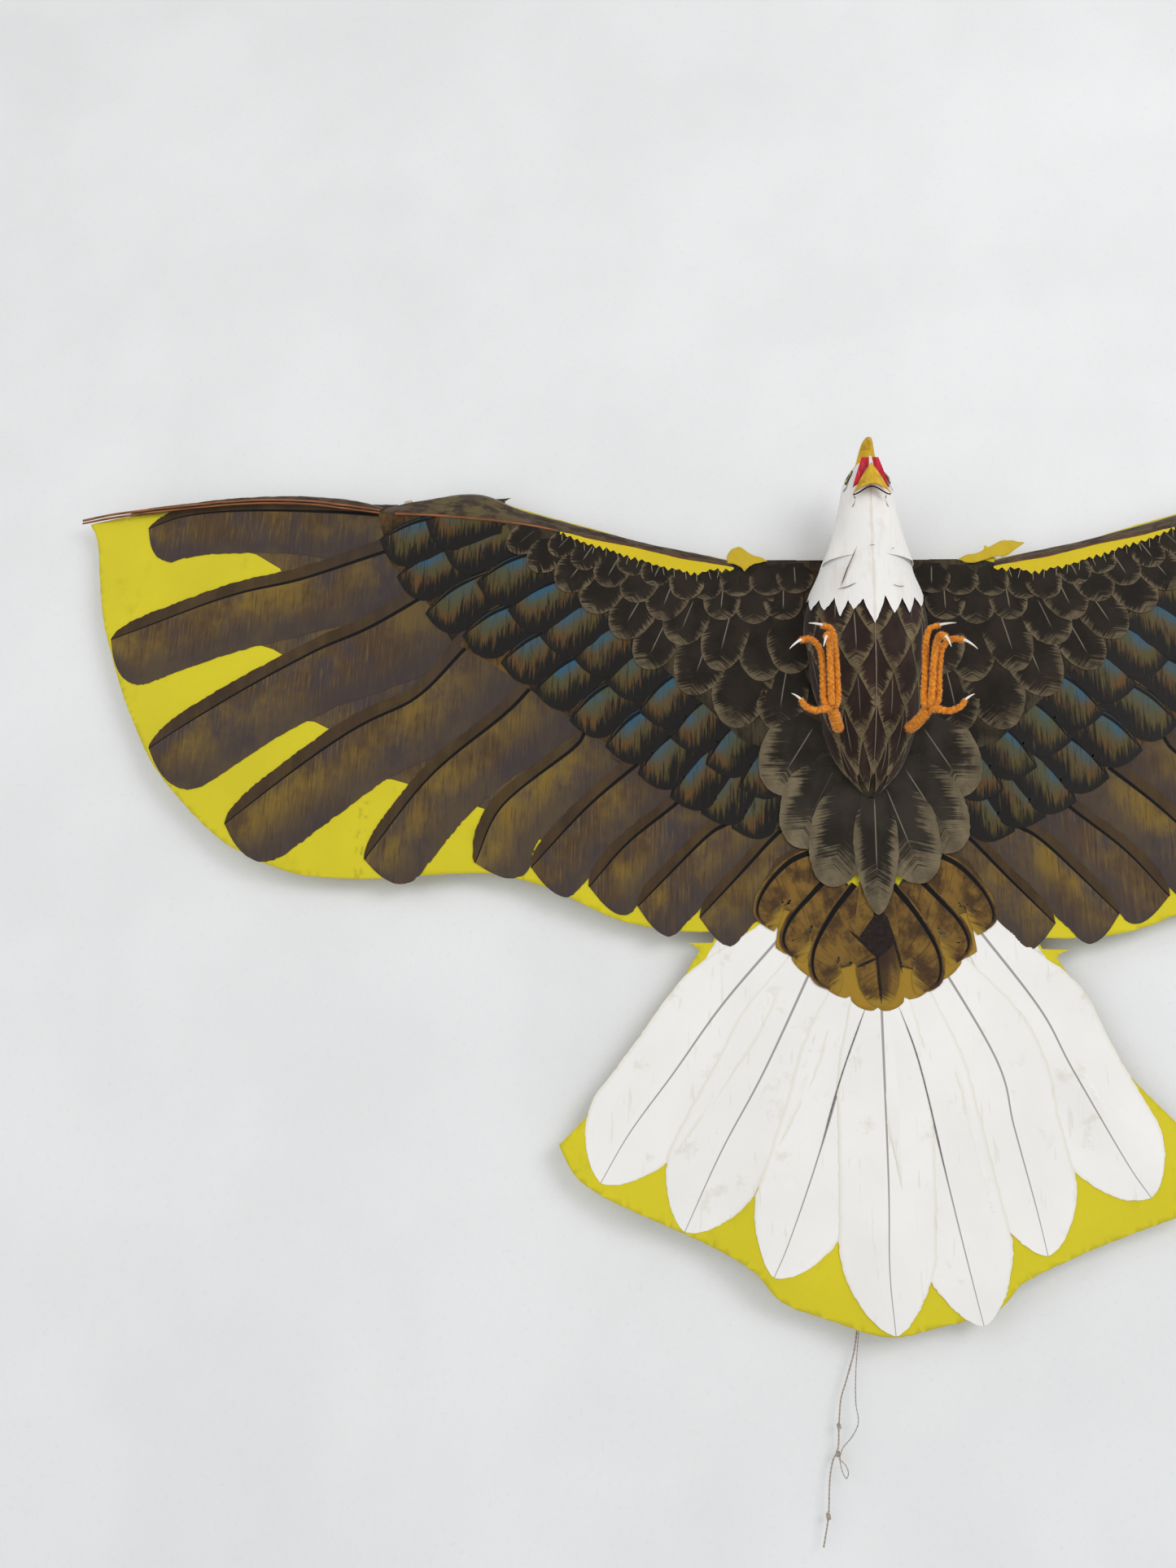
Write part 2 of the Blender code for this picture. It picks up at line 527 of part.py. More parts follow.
def build_leg(side, word):
    """Chenille leg: thigh, three front toes, hind toe and a claw on each toe."""
    aside = LEG_FOLD[0] * (SCALE_BODY - 1)
    ahead = forward(LEG_FOLD[1]) - LEG_FOLD[1]

    def mirrored(points):
        return [(side * (x + aside), y + ahead, z) for x, y, z in points]

    fold = joint_empty(f"{word}_leg_bend", mirrored([LEG_FOLD])[0])

    tube(f"{word}_thigh", mirrored(LEG_STEM), CHENILLE_R, "chenille", fold, spacing=0.006)
    for toe, points, point in TOES:
        tube(f"{word}_{toe}_toe", mirrored(points), TOE_R, "chenille", fold, spacing=0.006,
             end_radius=0.7 * TOE_R)
        before, last, point = (Vector(p) for p in mirrored(points[-2:] + [point]))
        lean = (last - before).normalized()
        start = last + lean * CLAW_GAP
        middle = start.lerp(point, 0.5) + lean * 0.12 * (point - start).length
        tube(f"{word}_{toe}_claw", [start, middle, point], CLAW_R, "claw", fold, spacing=0.003,
             end_radius=0.25 * CLAW_R)


def build_lines():
    """The tow line and its thinner strand, hanging from the foot of the spine behind the tail."""
    behind = 2 * (STICK_R - DRAWN_STICK_R)
    for name, route, radius in (("tow_line", LINE_ROUTE, LINE_R), ("line_strand", STRAND_ROUTE, STRAND_R)):
        tube(name, [(x, y + behind, z * SCALE_Z) for x, y, z in route], radius, "line", spacing=0.0065)


def main():
    clear_scene()
    build_frame()
    build_body_sail()
    build_torso()
    build_head()
    for side, word in ((-1, "left"), (1, "right")):
        build_wing(side, word)
        build_leg(side, word)
    build_tail()
    build_lines()


main()
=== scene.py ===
"""Soft eagle kite: painted cloth on bamboo, a stuffed body and head, chenille legs and a hanging line.

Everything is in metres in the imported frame: the kite hangs upright with its painted side towards -Y.
"""

import math

import bmesh
import bpy
from mathutils import Matrix, Vector, noise
from mathutils.geometry import delaunay_2d_cdt


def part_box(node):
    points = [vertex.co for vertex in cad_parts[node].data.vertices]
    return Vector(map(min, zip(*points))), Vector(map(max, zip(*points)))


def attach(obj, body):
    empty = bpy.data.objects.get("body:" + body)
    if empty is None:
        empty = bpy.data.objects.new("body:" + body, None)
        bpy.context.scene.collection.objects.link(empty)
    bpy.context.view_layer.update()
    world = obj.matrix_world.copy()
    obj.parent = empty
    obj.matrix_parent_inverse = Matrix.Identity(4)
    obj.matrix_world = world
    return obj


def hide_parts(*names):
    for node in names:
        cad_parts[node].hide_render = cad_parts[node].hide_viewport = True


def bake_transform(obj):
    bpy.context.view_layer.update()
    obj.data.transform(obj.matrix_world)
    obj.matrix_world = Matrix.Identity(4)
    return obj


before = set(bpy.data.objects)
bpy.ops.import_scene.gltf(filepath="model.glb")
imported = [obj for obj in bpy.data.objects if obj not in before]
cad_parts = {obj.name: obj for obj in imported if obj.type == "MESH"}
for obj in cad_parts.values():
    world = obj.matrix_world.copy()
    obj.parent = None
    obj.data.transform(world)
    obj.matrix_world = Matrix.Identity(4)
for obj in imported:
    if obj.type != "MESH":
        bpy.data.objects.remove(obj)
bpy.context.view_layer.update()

bl_info = {
    "name": "Soft Eagle Kite",
    "version": (1, 0, 0),
    "blender": (4, 5, 0),
    "location": "View3D > Sidebar > Kite",
    "description": "Adds the cloth, paint, body, legs and lines of a soft eagle kite to its packed frame",
    "category": "Add Mesh",
}

# ---- places read from the frame --------------------------------------------------------------------
BODY_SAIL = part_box("body_sail")
INNER_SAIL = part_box("right_inner_sail")
TAIL_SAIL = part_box("tail_sail")
BODY_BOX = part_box("body_skin")
HEAD_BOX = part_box("head_skin")
CLOTH_Y = (BODY_SAIL[0].y + BODY_SAIL[1].y) / 2
WRIST_IN = INNER_SAIL[1].x - 0.002
TAIL_TOP = TAIL_SAIL[1].z
BODY_FOOT = BODY_SAIL[0].z
SPLIT_X = 0.060            # seam between the centre panel and each wing's cloth
PANEL_X = 0.300            # seam between a wing's inner and outer cloth

SIDES = ((-1, "left"), (1, "right"))


def paint(red, green, blue):
    """A shop colour from 0 to 255 as linear light."""
    def linear(value):
        value = value / 255
        return value / 12.92 if value <= 0.04045 else ((value + 0.055) / 1.055) ** 2.4
    return (linear(red), linear(green), linear(blue), 1.0)


def mm(shape):
    """A table of places drawn in millimetres, in metres."""
    if isinstance(shape, dict):
        return {name: mm(part) for name, part in shape.items()}
    if isinstance(shape, (list, tuple)):
        return type(shape)(mm(part) for part in shape)
    return shape / 1000


# ---- settings a maker would change -------------------------------------------------------------------
def colour_setting(name, description, rgb):
    return bpy.props.FloatVectorProperty(name=name, description=description, subtype="COLOR", size=4,
                                         min=0.0, max=1.0, default=paint(*rgb))


def length_setting(name, description, default):
    return bpy.props.FloatProperty(name=name, description=description, subtype="DISTANCE", unit="LENGTH",
                                   min=0.0, default=default)


class KiteSizes(bpy.types.PropertyGroup):
    cloth: length_setting("Cloth", "Thickness of the kite cloth", 0.0004)
    wave: length_setting("Wing wave", "How far the wing cloth bellies out between its sticks", 0.0060)
    pleat: length_setting("Tail pleat", "How far the tail cloth folds forward at its hem", 0.0085)
    cell: length_setting("Cloth cell", "Spacing of the cloth mesh", 0.0070)
    coat: length_setting("Paint coat", "Step from one coat of paint to the next", 0.00022)
    quill: length_setting("Quill line", "Half width of a painted quill line", 0.0015)
    fluff: length_setting("Fluff", "Length of the chenille fibres", 0.0017)


class KiteColours(bpy.types.PropertyGroup):
    yellow: colour_setting("Cloth yellow", "Bare yellow cloth", (212, 198, 40))
    gold: colour_setting("Gold brown", "Gold brown of the flight feathers", (124, 100, 44))
    brown: colour_setting("Feather brown", "Middle brown of the flight feathers", (82, 63, 42))
    slate: colour_setting("Slate", "Grey violet shading of the flight feathers", (68, 60, 62))
    ink: colour_setting("Ink", "Quill lines and darkest paint", (12, 10, 12))
    blue: colour_setting("Covert blue", "Blue gloss of the covert scales", (46, 88, 112))
    olive: colour_setting("Covert olive", "Olive gold of the covert scales", (82, 71, 37))
    dark: colour_setting("Down dark", "Dark middle of the soft feathers", (34, 28, 22))
    taupe: colour_setting("Down taupe", "Light rims of the soft feathers", (98, 86, 66))
    white: colour_setting("White", "White of the head and tail", (243, 241, 238))
    bamboo: colour_setting("Bamboo", "Split bamboo", (142, 92, 60))
    orange: colour_setting("Chenille orange", "Wire chenille of the legs", (243, 154, 26))
    beak: colour_setting("Beak yellow", "Beak paint", (214, 172, 48))
    mouth: colour_setting("Mouth red", "Inside of the beak", (190, 38, 56))
    line: colour_setting("Line", "Cotton line", (178, 166, 154))


def sizes():
    return bpy.context.scene.kite_sizes


def colours():
    return bpy.context.scene.kite_colours


# ---- finishes --------------------------------------------------------------------------------------
class Finish:
    """A material built up from nodes."""

    def __init__(self, name, roughness=0.8, sheen=0.0):
        self.made = bpy.data.materials.new(name)
        self.made.use_nodes = True
        self.tree = self.made.node_tree
        self.shader = self.tree.nodes["Principled BSDF"]
        self.shader.inputs["Roughness"].default_value = roughness
        self.shader.inputs["Specular IOR Level"].default_value = 0.15
        if sheen:
            self.shader.inputs["Sheen Weight"].default_value = sheen

    def join(self, value, socket):
        if isinstance(value, bpy.types.NodeSocket):
            self.tree.links.new(value, socket)
        else:
            socket.default_value = value

    def value(self, name):
        """A number painted on the mesh under a name."""
        node = self.tree.nodes.new("ShaderNodeAttribute")
        node.attribute_name = name
        return node.outputs["Fac"]

    def place(self, name=None):
        """A place painted on the mesh under a name, or the piece's own place."""
        if name is None:
            return self.tree.nodes.new("ShaderNodeTexCoord").outputs["Object"]
        node = self.tree.nodes.new("ShaderNodeAttribute")
        node.attribute_name = name
        return node.outputs["Vector"]

    def stretch(self, place, scale):
        node = self.tree.nodes.new("ShaderNodeMapping")
        self.join(place, node.inputs["Vector"])
        node.inputs["Scale"].default_value = scale
        return node.outputs["Vector"]

    def grain(self, place, scale, detail=3.0, rough=0.55):
        """Soft noise from 0 to 1, finer along the axes with a larger scale."""
        node = self.tree.nodes.new("ShaderNodeTexNoise")
        self.join(self.stretch(place, scale), node.inputs["Vector"])
        node.inputs["Scale"].default_value = 1.0
        node.inputs["Detail"].default_value = detail
        node.inputs["Roughness"].default_value = rough
        return node.outputs["Fac"]

    def sum(self, kind, first, second=0.0):
        node = self.tree.nodes.new("ShaderNodeMath")
        node.operation = kind
        self.join(first, node.inputs[0])
        self.join(second, node.inputs[1])
        return node.outputs[0]

    def times(self, first, second):
        return self.sum("MULTIPLY", first, second)

    def plus(self, first, second):
        return self.sum("ADD", first, second)

    def minus(self, first, second):
        return self.sum("SUBTRACT", first, second)

    def size(self, value):
        return self.sum("ABSOLUTE", value)

    def step(self, value, low, high):
        """0 below low, 1 above high, smooth between."""
        node = self.tree.nodes.new("ShaderNodeMapRange")
        node.interpolation_type = "SMOOTHSTEP"
        self.join(value, node.inputs["Value"])
        node.inputs["From Min"].default_value = low
        node.inputs["From Max"].default_value = high
        return node.outputs["Result"]

    def part(self, place, axis):
        node = self.tree.nodes.new("ShaderNodeSeparateXYZ")
        self.join(place, node.inputs[0])
        return node.outputs[axis]

    def mix(self, share, low, high):
        node = self.tree.nodes.new("ShaderNodeMix")
        node.data_type = "RGBA"
        self.join(share, node.inputs["Factor"])
        self.join(low, node.inputs[6])
        self.join(high, node.inputs[7])
        return node.outputs[2]

    def wash(self, colour, tone, value, low, high, share):
        """A colour with a share of another tone laid over it where a value climbs from low to high."""
        return self.mix(self.times(self.step(value, low, high), share), colour, tone)

    def coat(self, colour):
        self.join(colour, self.shader.inputs["Base Color"])
        return self

    def bump(self, height, depth=0.0004, strength=0.5):
        node = self.tree.nodes.new("ShaderNodeBump")
        node.inputs["Distance"].default_value = depth
        node.inputs["Strength"].default_value = strength
        self.join(height, node.inputs["Height"])
        self.tree.links.new(node.outputs["Normal"], self.shader.inputs["Normal"])
        return self

    def rough(self, value, low, high):
        node = self.tree.nodes.new("ShaderNodeMapRange")
        self.join(value, node.inputs["Value"])
        node.inputs["To Min"].default_value = low
        node.inputs["To Max"].default_value = high
        self.tree.links.new(node.outputs["Result"], self.shader.inputs["Roughness"])
        return self


def shade(colour, gain):
    return (colour[0] * gain, colour[1] * gain, colour[2] * gain, 1.0)


def blotch(finish, base, place, scale, amount):
    """Colour that grows lighter and darker in patches."""
    patch = finish.step(finish.grain(place, scale), 0.3, 0.7)
    return finish.mix(patch, shade(base, 1.0 - amount), shade(base, 1.0 + amount))


def cloth_finish(name, base):
    made = Finish(name, 0.75, 0.15)
    cut = made.place("cut")
    weave = made.grain(cut, (900, 900, 900), 2.0)
    crease = made.grain(cut, (30, 30, 18), 4.0, 0.6)
    colour = blotch(made, base, cut, (7, 7, 7), 0.05)
    # painted shade: the cloth colour is darkened along the creases
    colour = made.mix(made.step(crease, 0.56, 0.75), colour, shade(base, 0.86))
    height = made.plus(made.times(crease, 2.0), made.times(weave, 0.25))
    return made.coat(colour).bump(height, 0.0012, 0.6).made


def stroke_shade(finish, strokes, colour, dark, light, scale=(620, 40, 40)):
    """Dry brush strokes, drawn down the kite, over a colour."""
    streak = finish.grain(strokes, scale, 3.0, 0.6)
    colour = finish.mix(finish.times(finish.step(streak, 0.52, 0.72), 0.55), colour, dark)
    return finish.mix(finish.times(finish.step(streak, 0.48, 0.28), 0.45), colour, light)


def quill_mask(finish, half, fade=1.0):
    """1 on the painted quill line, which thins towards the feather's tip."""
    offset = finish.size(finish.part(finish.place("barb"), "Y"))
    width = finish.times(finish.minus(1.35, finish.value("along")), half * fade)
    return finish.step(finish.minus(width, offset), -0.00025, 0.00025)


def flight_finish(name, with_quill=True):
    tones = colours()
    made = Finish(name, 0.7, 0.08)
    cut = made.place("cut")
    patches = made.grain(cut, (15, 15, 13), 4.0, 0.66)
    tint = made.grain(cut, (26, 26, 18), 4.0, 0.66)
    colour = made.mix(made.step(patches, 0.38, 0.62), tones.brown, tones.gold)
    colour = made.mix(made.step(tint, 0.42, 0.74), colour, tones.slate)
    colour = stroke_shade(made, cut, colour, shade(tones.brown, 0.45), shade(tones.gold, 1.15),
                          (600, 600, 38))
    edge = made.plus(made.value("across"), made.times(made.grain(cut, (420, 420, 45), 2.0), 0.5))
    margin = made.times(made.step(made.plus(edge, patches), 1.0, 1.6), 0.75)
    colour = made.mix(margin, colour, shade(tones.slate, 0.85))
    if with_quill:
        band = made.step(made.value("across"), 0.02, -0.02)
        deep = blotch(made, shade(tones.brown, 0.62), cut, (60, 60, 20), 0.25)
        colour = made.mix(made.times(band, 0.85), colour, deep)
        base = made.times(made.step(made.value("along"), 0.45, 0.1), 0.5)
        colour = made.mix(base, colour, shade(tones.slate, 0.7))
        colour = made.mix(quill_mask(made, sizes().quill), colour, tones.ink)
    weave = made.grain(cut, (800, 800, 300), 2.0)
    return made.coat(colour).bump(weave, 0.0003, 0.5).made


def covert_finish(name):
    tones = colours()
    made = Finish(name, 0.6, 0.08)
    cut = made.place("cut")
    across = made.value("across")
    along = made.value("along")
    streak = made.grain(cut, (520, 520, 40), 3.0, 0.65)
    sway = made.times(made.minus(streak, 0.5), 1.3)
    patch = made.grain(cut, (42, 42, 42), 3.0)
    depth = made.plus(across, sway)
    gold = made.mix(made.step(patch, 0.42, 0.6), tones.olive, paint(92, 66, 34))
    middle = made.times(made.step(along, 0.16, 0.42), made.step(along, 0.86, 0.6))
    teal = made.times(made.step(across, 0.62, 0.1), middle)
    gold = made.mix(made.times(teal, 0.6), gold, paint(66, 84, 72))
    blue = made.times(made.step(across, 0.36, 0.05), made.times(middle, made.step(patch, 0.36, 0.56)))
    blue = made.times(blue, made.step(made.value("seed"), -0.6, 0.9))
    colour = made.mix(blue, gold, tones.blue)
    colour = made.wash(colour, shade(tones.olive, 0.3), streak, 0.5, 0.7, 0.5)
    colour = made.mix(made.step(depth, 0.34, 0.72), colour, paint(24, 22, 21))
    ends = made.plus(along, made.times(sway, 0.35))
    colour = made.mix(made.step(ends, 0.80, 0.95), colour, paint(27, 25, 23))
    thick = made.times(made.times(along, made.minus(1.02, along)), 0.0066)
    offset = made.size(made.part(made.place("barb"), "Y"))
    stroke = made.step(made.minus(thick, offset), -0.0002, 0.0004)
    colour = made.mix(stroke, colour, tones.ink)
    colour = made.mix(made.step(across, -0.2, -0.9), colour, tones.ink)
    return made.coat(colour).bump(streak, 0.0003, 0.5).made


def down_finish(name, dark, light, core=0.70):
    """Soft feathers: a dark middle breaking up into a light rim along the barbs."""
    made = Finish(name, 0.8, 0.12)
    cut = made.place("cut")
    barbs = made.place("barb")
    along = made.value("along")
    across = made.size(made.value("across"))
    streak = made.grain(barbs, (650, 24, 1), 3.0, 0.6)
    fine = made.grain(barbs, (1500, 60, 1), 2.0)
    broad = made.grain(cut, (90, 90, 90), 2.0)
    reach = made.sum("MAXIMUM", made.times(across, made.step(along, -0.1, 0.5)),
                     made.sum("POWER", along, 1.5))
    reach = made.plus(reach, made.times(made.minus(streak, 0.5), 1.0))
    reach = made.plus(reach, made.times(made.minus(broad, 0.5), 0.45))
    deep = made.mix(made.step(made.grain(cut, (40, 40, 30)), 0.35, 0.7), shade(dark, 0.75), shade(dark, 1.45))
    pale = blotch(made, light, cut, (70, 70, 50), 0.28)
    pale = made.wash(pale, shade(dark, 1.6), fine, 0.55, 0.75, 0.5)
    colour = made.mix(made.step(reach, core, core + 0.30), deep, pale)
    hair = made.times(made.step(fine, 0.66, 0.76), 0.30)
    colour = made.mix(hair, colour, light)
    offset = made.size(made.part(barbs, "Y"))
    line = made.times(made.step(offset, 0.0007, 0.0002), made.step(along, 0.72, 0.5))
    line = made.times(line, made.step(along, 0.08, 0.2))
    line = made.times(line, made.step(made.value("seed"), 0.35, 0.55))
    colour = made.mix(made.times(line, 0.6), colour, paint(150, 140, 122))
    return made.coat(colour).bump(streak, 0.0003, 0.4).made


def ground_finish(name, tones_low, tones_high):
    made = Finish(name, 0.8, 0.1)
    cut = made.place("cut")
    patches = made.step(made.grain(cut, (38, 38, 30), 4.0, 0.6), 0.36, 0.66)
    colour = made.mix(patches, tones_low, tones_high)
    streak = made.grain(cut, (520, 520, 45), 3.0, 0.6)
    colour = made.wash(colour, shade(tones_low, 0.5), streak, 0.5, 0.7, 0.6)
    return made.coat(colour).bump(streak, 0.0003, 0.4).made


def flap_finish(name):
    tones = colours()
    made = Finish(name, 0.75, 0.1)
    cut = made.place("cut")
    across = made.value("across")
    along = made.value("along")
    patches = made.grain(cut, (55, 55, 45), 4.0, 0.6)
    colour = made.mix(made.step(patches, 0.38, 0.62), paint(72, 52, 32), paint(124, 94, 42))
    barb = made.grain(made.place("barb"), (420, 30, 1), 3.0)
    colour = made.wash(colour, paint(46, 33, 25), barb, 0.5, 0.7, 0.55)
    band = made.times(made.step(across, -0.75, -0.35), made.step(across, 0.1, -0.1))
    colour = made.mix(made.times(band, 0.8), colour, paint(52, 38, 32))
    far = made.plus(made.step(across, 0.75, 1.0), made.step(across, -0.75, -1.0))
    colour = made.mix(made.times(far, 0.5), colour, paint(120, 96, 40))
    end = made.plus(along, made.times(made.minus(barb, 0.5), 0.2))
    colour = made.mix(made.step(end, 0.90, 0.97), colour, paint(150, 120, 44))
    offset = made.size(made.part(made.place("barb"), "Y"))
    thick = made.times(made.minus(1.15, along), 0.0024)
    stroke = made.times(made.step(made.minus(thick, offset), -0.0003, 0.0004),
                      made.step(along, 0.86, 0.8))
    colour = made.mix(stroke, colour, tones.ink)
    return made.coat(colour).bump(barb, 0.0003, 0.4).made


def white_finish(name, with_quill):
    tones = colours()
    made = Finish(name, 0.7, 0.1)
    cut = made.place("cut")
    smudge = made.grain(cut, (34, 34, 34), 5.0, 0.7)
    colour = blotch(made, shade(tones.white, 0.97), cut, (11, 11, 11), 0.03)
    colour = made.wash(colour, paint(205, 194, 176), smudge, 0.58, 0.72, 0.35)
    scratch = made.grain(cut, (260, 260, 30), 2.0, 0.5)
    colour = made.wash(colour, paint(190, 176, 152), scratch, 0.66, 0.72, 0.18)
    if with_quill:
        rim = made.size(made.value("across"))
        colour = made.wash(colour, paint(214, 204, 170), rim, 0.9, 1.0, 0.35)
        colour = made.mix(made.times(quill_mask(made, sizes().quill, 0.6), 0.75), colour,
                          paint(118, 110, 104))
    crease = made.grain(cut, (26, 26, 14), 4.0, 0.6)
    return made.coat(colour).bump(crease, 0.0012, 0.5).made


def plain_finish(name, base, roughness=0.6, scale=(200, 200, 200), amount=0.2, depth=0.0003, sheen=0.0):
    """One colour with grain, for pieces that need no painted places."""
    made = Finish(name, roughness, sheen)
    place = made.place()
    colour = blotch(made, base, place, scale, amount)
    fine = made.grain(place, tuple(s * 3 for s in scale), 3.0)
    made.coat(colour).bump(fine, depth, 0.6)
    return made.rough(fine, roughness - 0.12, min(1.0, roughness + 0.12)).made


def bamboo_finish(name, along):
    """Split bamboo with its grain drawn along one axis."""
    tones = colours()
    made = Finish(name, 0.45)
    place = made.place()
    scale = [500, 500, 500]
    scale["XYZ".index(along)] = 14
    fibre = made.grain(place, tuple(scale), 4.0, 0.6)
    colour = made.mix(made.step(fibre, 0.35, 0.65), shade(tones.bamboo, 0.6), shade(tones.bamboo, 1.35))
    patch = made.grain(place, (22, 22, 22), 3.0)
    colour = made.wash(colour, paint(96, 56, 34), patch, 0.5, 0.7, 0.5)
    return made.coat(colour).bump(fibre, 0.0002, 0.6).rough(fibre, 0.38, 0.6).made


def thread_finish(name, base):
    """Wound or twisted cotton."""
    made = Finish(name, 0.85, 0.25)
    place = made.place()
    fibre = made.grain(place, (1400, 1400, 1400), 3.0)
    colour = made.mix(made.step(fibre, 0.35, 0.65), shade(base, 0.62), shade(base, 1.2))
    dirt = made.grain(place, (60, 60, 60), 3.0)
    colour = made.wash(colour, shade(base, 0.5), dirt, 0.55, 0.7, 0.35)
    return made.coat(colour).bump(fibre, 0.0003, 0.8).made


# ---- meshes ----------------------------------------------------------------------------------------
def wobble(*place, seed=0.0):
    """Repeatable noise about 0."""
    spread = list(place) + [0.0] * (3 - len(place))
    return noise.noise(Vector(spread) + Vector((seed * 7.31, seed * 3.17, seed * 5.53)))


def smooth_step(low, high, value):
    share = min(1.0, max(0.0, (value - low) / (high - low)))
    return share * share * (3 - 2 * share)


def make_piece(name, points, faces, finish, painted=None, smooth=True):
    """A mesh piece with one finish and, where it is painted, its painted places."""
    mesh = bpy.data.meshes.new(name)
    mesh.from_pydata([tuple(p) for p in points], [], faces)
    mesh.materials.append(finish)
    for key, values in (painted or {}).items():
        kind = "FLOAT" if isinstance(values[0], float) else "FLOAT_VECTOR"
        layer = mesh.attributes.new(key, kind, "POINT")
        if kind == "FLOAT":
            layer.data.foreach_set("value", values)
        else:
            layer.data.foreach_set("vector", [number for value in values for number in value])
    mesh.validate()
    if smooth:
        mesh.shade_smooth()
    piece = bpy.data.objects.new(name, mesh)
    bpy.context.scene.collection.objects.link(piece)
    return piece


def seat(piece, slot, body, *replaced):
    """Puts a piece on its body, in place of the frame's own pieces; the slot is not used."""
    if replaced:
        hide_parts(*replaced)
    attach(piece, body)


def thicken(piece, thickness, offset=-1.0):
    """Gives a sheet its thickness; an offset of 0 puts half on each side."""
    solid = piece.modifiers.new("thickness", "SOLIDIFY")
    solid.thickness = thickness
    solid.offset = offset
    with bpy.context.temp_override(object=piece, active_object=piece, selected_objects=[piece]):
        bpy.ops.object.modifier_apply(modifier=solid.name)


def spline(points, spacing):
    """Points about one spacing apart on a smooth line through the given ones."""
    size = len(points[0])
    knots = [Vector(p).to_3d() if size == 3 else Vector((*p, 0.0)) for p in points]
    knots = [2 * knots[0] - knots[1]] + knots + [2 * knots[-1] - knots[-2]]
    path = []
    for a, b, c, d in zip(knots, knots[1:], knots[2:], knots[3:]):
        steps = max(1, round((c - b).length / spacing))
        for step in range(steps):
            t = step / steps
            path.append(0.5 * ((2 * b) + (c - a) * t + (2 * a - 5 * b + 4 * c - d) * t * t
                               + (3 * b - a - 3 * c + d) * t ** 3))
    path.append(knots[-2].copy())
    return path if size == 3 else [p.to_2d() for p in path]


def lengths(path):
    run = [0.0]
    for a, b in zip(path, path[1:]):
        run.append(run[-1] + (b - a).length)
    return run


def part_way(path, run, share):
    """The place a share of the way along a path, and the path's point before it."""
    gone = share * run[-1]
    k = min(max(j for j in range(len(run)) if run[j] <= gone + 1e-9), len(run) - 2)
    return path[k].lerp(path[k + 1], (gone - run[k]) / (run[k + 1] - run[k])), k


def heading(path, i, reach=1):
    """Direction of a path at one of its points."""
    return (path[min(i + reach, len(path) - 1)] - path[max(i - 1, 0)]).normalized()


def frames_along(path):
    """A place, direction and steady pair of cross directions at each point of a path."""
    made = []
    normal = None
    for i, place in enumerate(path):
        ahead = heading(path, i)
        if normal is None:
            normal = ahead.orthogonal().normalized()
        normal = (normal - ahead * normal.dot(ahead)).normalized()
        made.append((place, ahead, normal, ahead.cross(normal)))
    return made


def sweep(path, ring):
    """Points and faces of a closed tube; ring(share, run, angle) gives the radius."""
    run = lengths(path)
    count = 16
    points, faces = [], []
    for (place, _, normal, across), gone in zip(frames_along(path), run):
        for j in range(count):
            angle = 2 * math.pi * j / count
            radius = ring(gone / run[-1], gone, angle)
            points.append(place + normal * radius * math.cos(angle) + across * radius * math.sin(angle))
    rows = len(path)
    for i in range(rows - 1):
        for j in range(count):
            k = (j + 1) % count
            faces.append((i * count + j, i * count + k, (i + 1) * count + k, (i + 1) * count + j))
    faces.append(tuple(range(count))[::-1])
    faces.append(tuple((rows - 1) * count + j for j in range(count)))
    return points, faces


def merge(parts):
    """One list of points and faces from several."""
    points, faces = [], []
    for more_points, more_faces in parts:
        start = len(points)
        points += more_points
        faces += [tuple(start + i for i in face) for face in more_faces]
    return points, faces


# ---- cloth -----------------------------------------------------------------------------------------
def cloth_front(x, z):
    """Middle of the cloth's thickness: flat at the sticks, with soft waves between them."""
    give = sizes()
    side = abs(x)
    free = smooth_step(0.085, 0.16, side)
    hang = smooth_step(0.03, -0.28, z - 0.10 * smooth_step(0.1, 0.5, side))
    fold = 0.5 + 0.5 * math.sin(side * 46.0 + z * 15.0 + 2.0 * wobble(x * 4.0, z * 4.0, seed=1.0))
    drift = 0.5 + 0.5 * wobble(x * 9.0, z * 9.0, seed=3.0)
    edge = smooth_step(0.72, 0.60, side)
    wrist = 1.0 - 0.7 * math.exp(-((side - WRIST_IN) / 0.03) ** 2)
    wing = give.wave * free * hang * edge * wrist * (0.6 * fold + 0.4 * drift)
    below = smooth_step(BODY_FOOT, TAIL_TOP - 0.016, z)
    if below == 0.0:
        return CLOTH_Y - wing
    reach = math.hypot(x, z + 0.28)
    fan = math.atan2(x, -(z + 0.28))
    depth = smooth_step(0.07, 0.36, reach)
    fold = 0.5 + 0.5 * math.sin(fan * 19.0 + 0.9 + 1.6 * wobble(fan * 2.2, reach * 4.0))
    drift = 0.5 + 0.5 * wobble(x * 11.0, z * 6.0, seed=2.0)
    tail = give.pleat * depth * (0.72 * fold * fold + 0.28 * drift)
    return CLOTH_Y - wing - (tail - wing) * below


def on_cloth(x, z, lift):
    return Vector((x, cloth_front(x, z) - sizes().cloth / 2 - lift, z))


def outline_of(node):
    """Edge of a CAD cloth panel as a loop of (x, z), in order."""
    shape = bmesh.new()
    shape.from_mesh(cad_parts[node].data)
    bmesh.ops.remove_doubles(shape, verts=shape.verts, dist=1e-5)
    shape.normal_update()
    uses = {}
    for face in shape.faces:
        if face.normal.y < -0.9:
            for edge in face.edges:
                uses.setdefault(edge, 0)
                uses[edge] += 1
    near = {}
    for edge, count in uses.items():
        if count == 1:
            a, b = edge.verts
            near.setdefault(a, []).append(b)
            near.setdefault(b, []).append(a)
    start = min(near, key=lambda v: (v.co.x, v.co.z))
    loop, before, here = [], None, start
    while True:
        loop.append((here.co.x, here.co.z))
        ahead = [v for v in near[here] if v is not before]
        before, here = here, ahead[0]
        if here is start:
            break
    shape.free()
    return loop


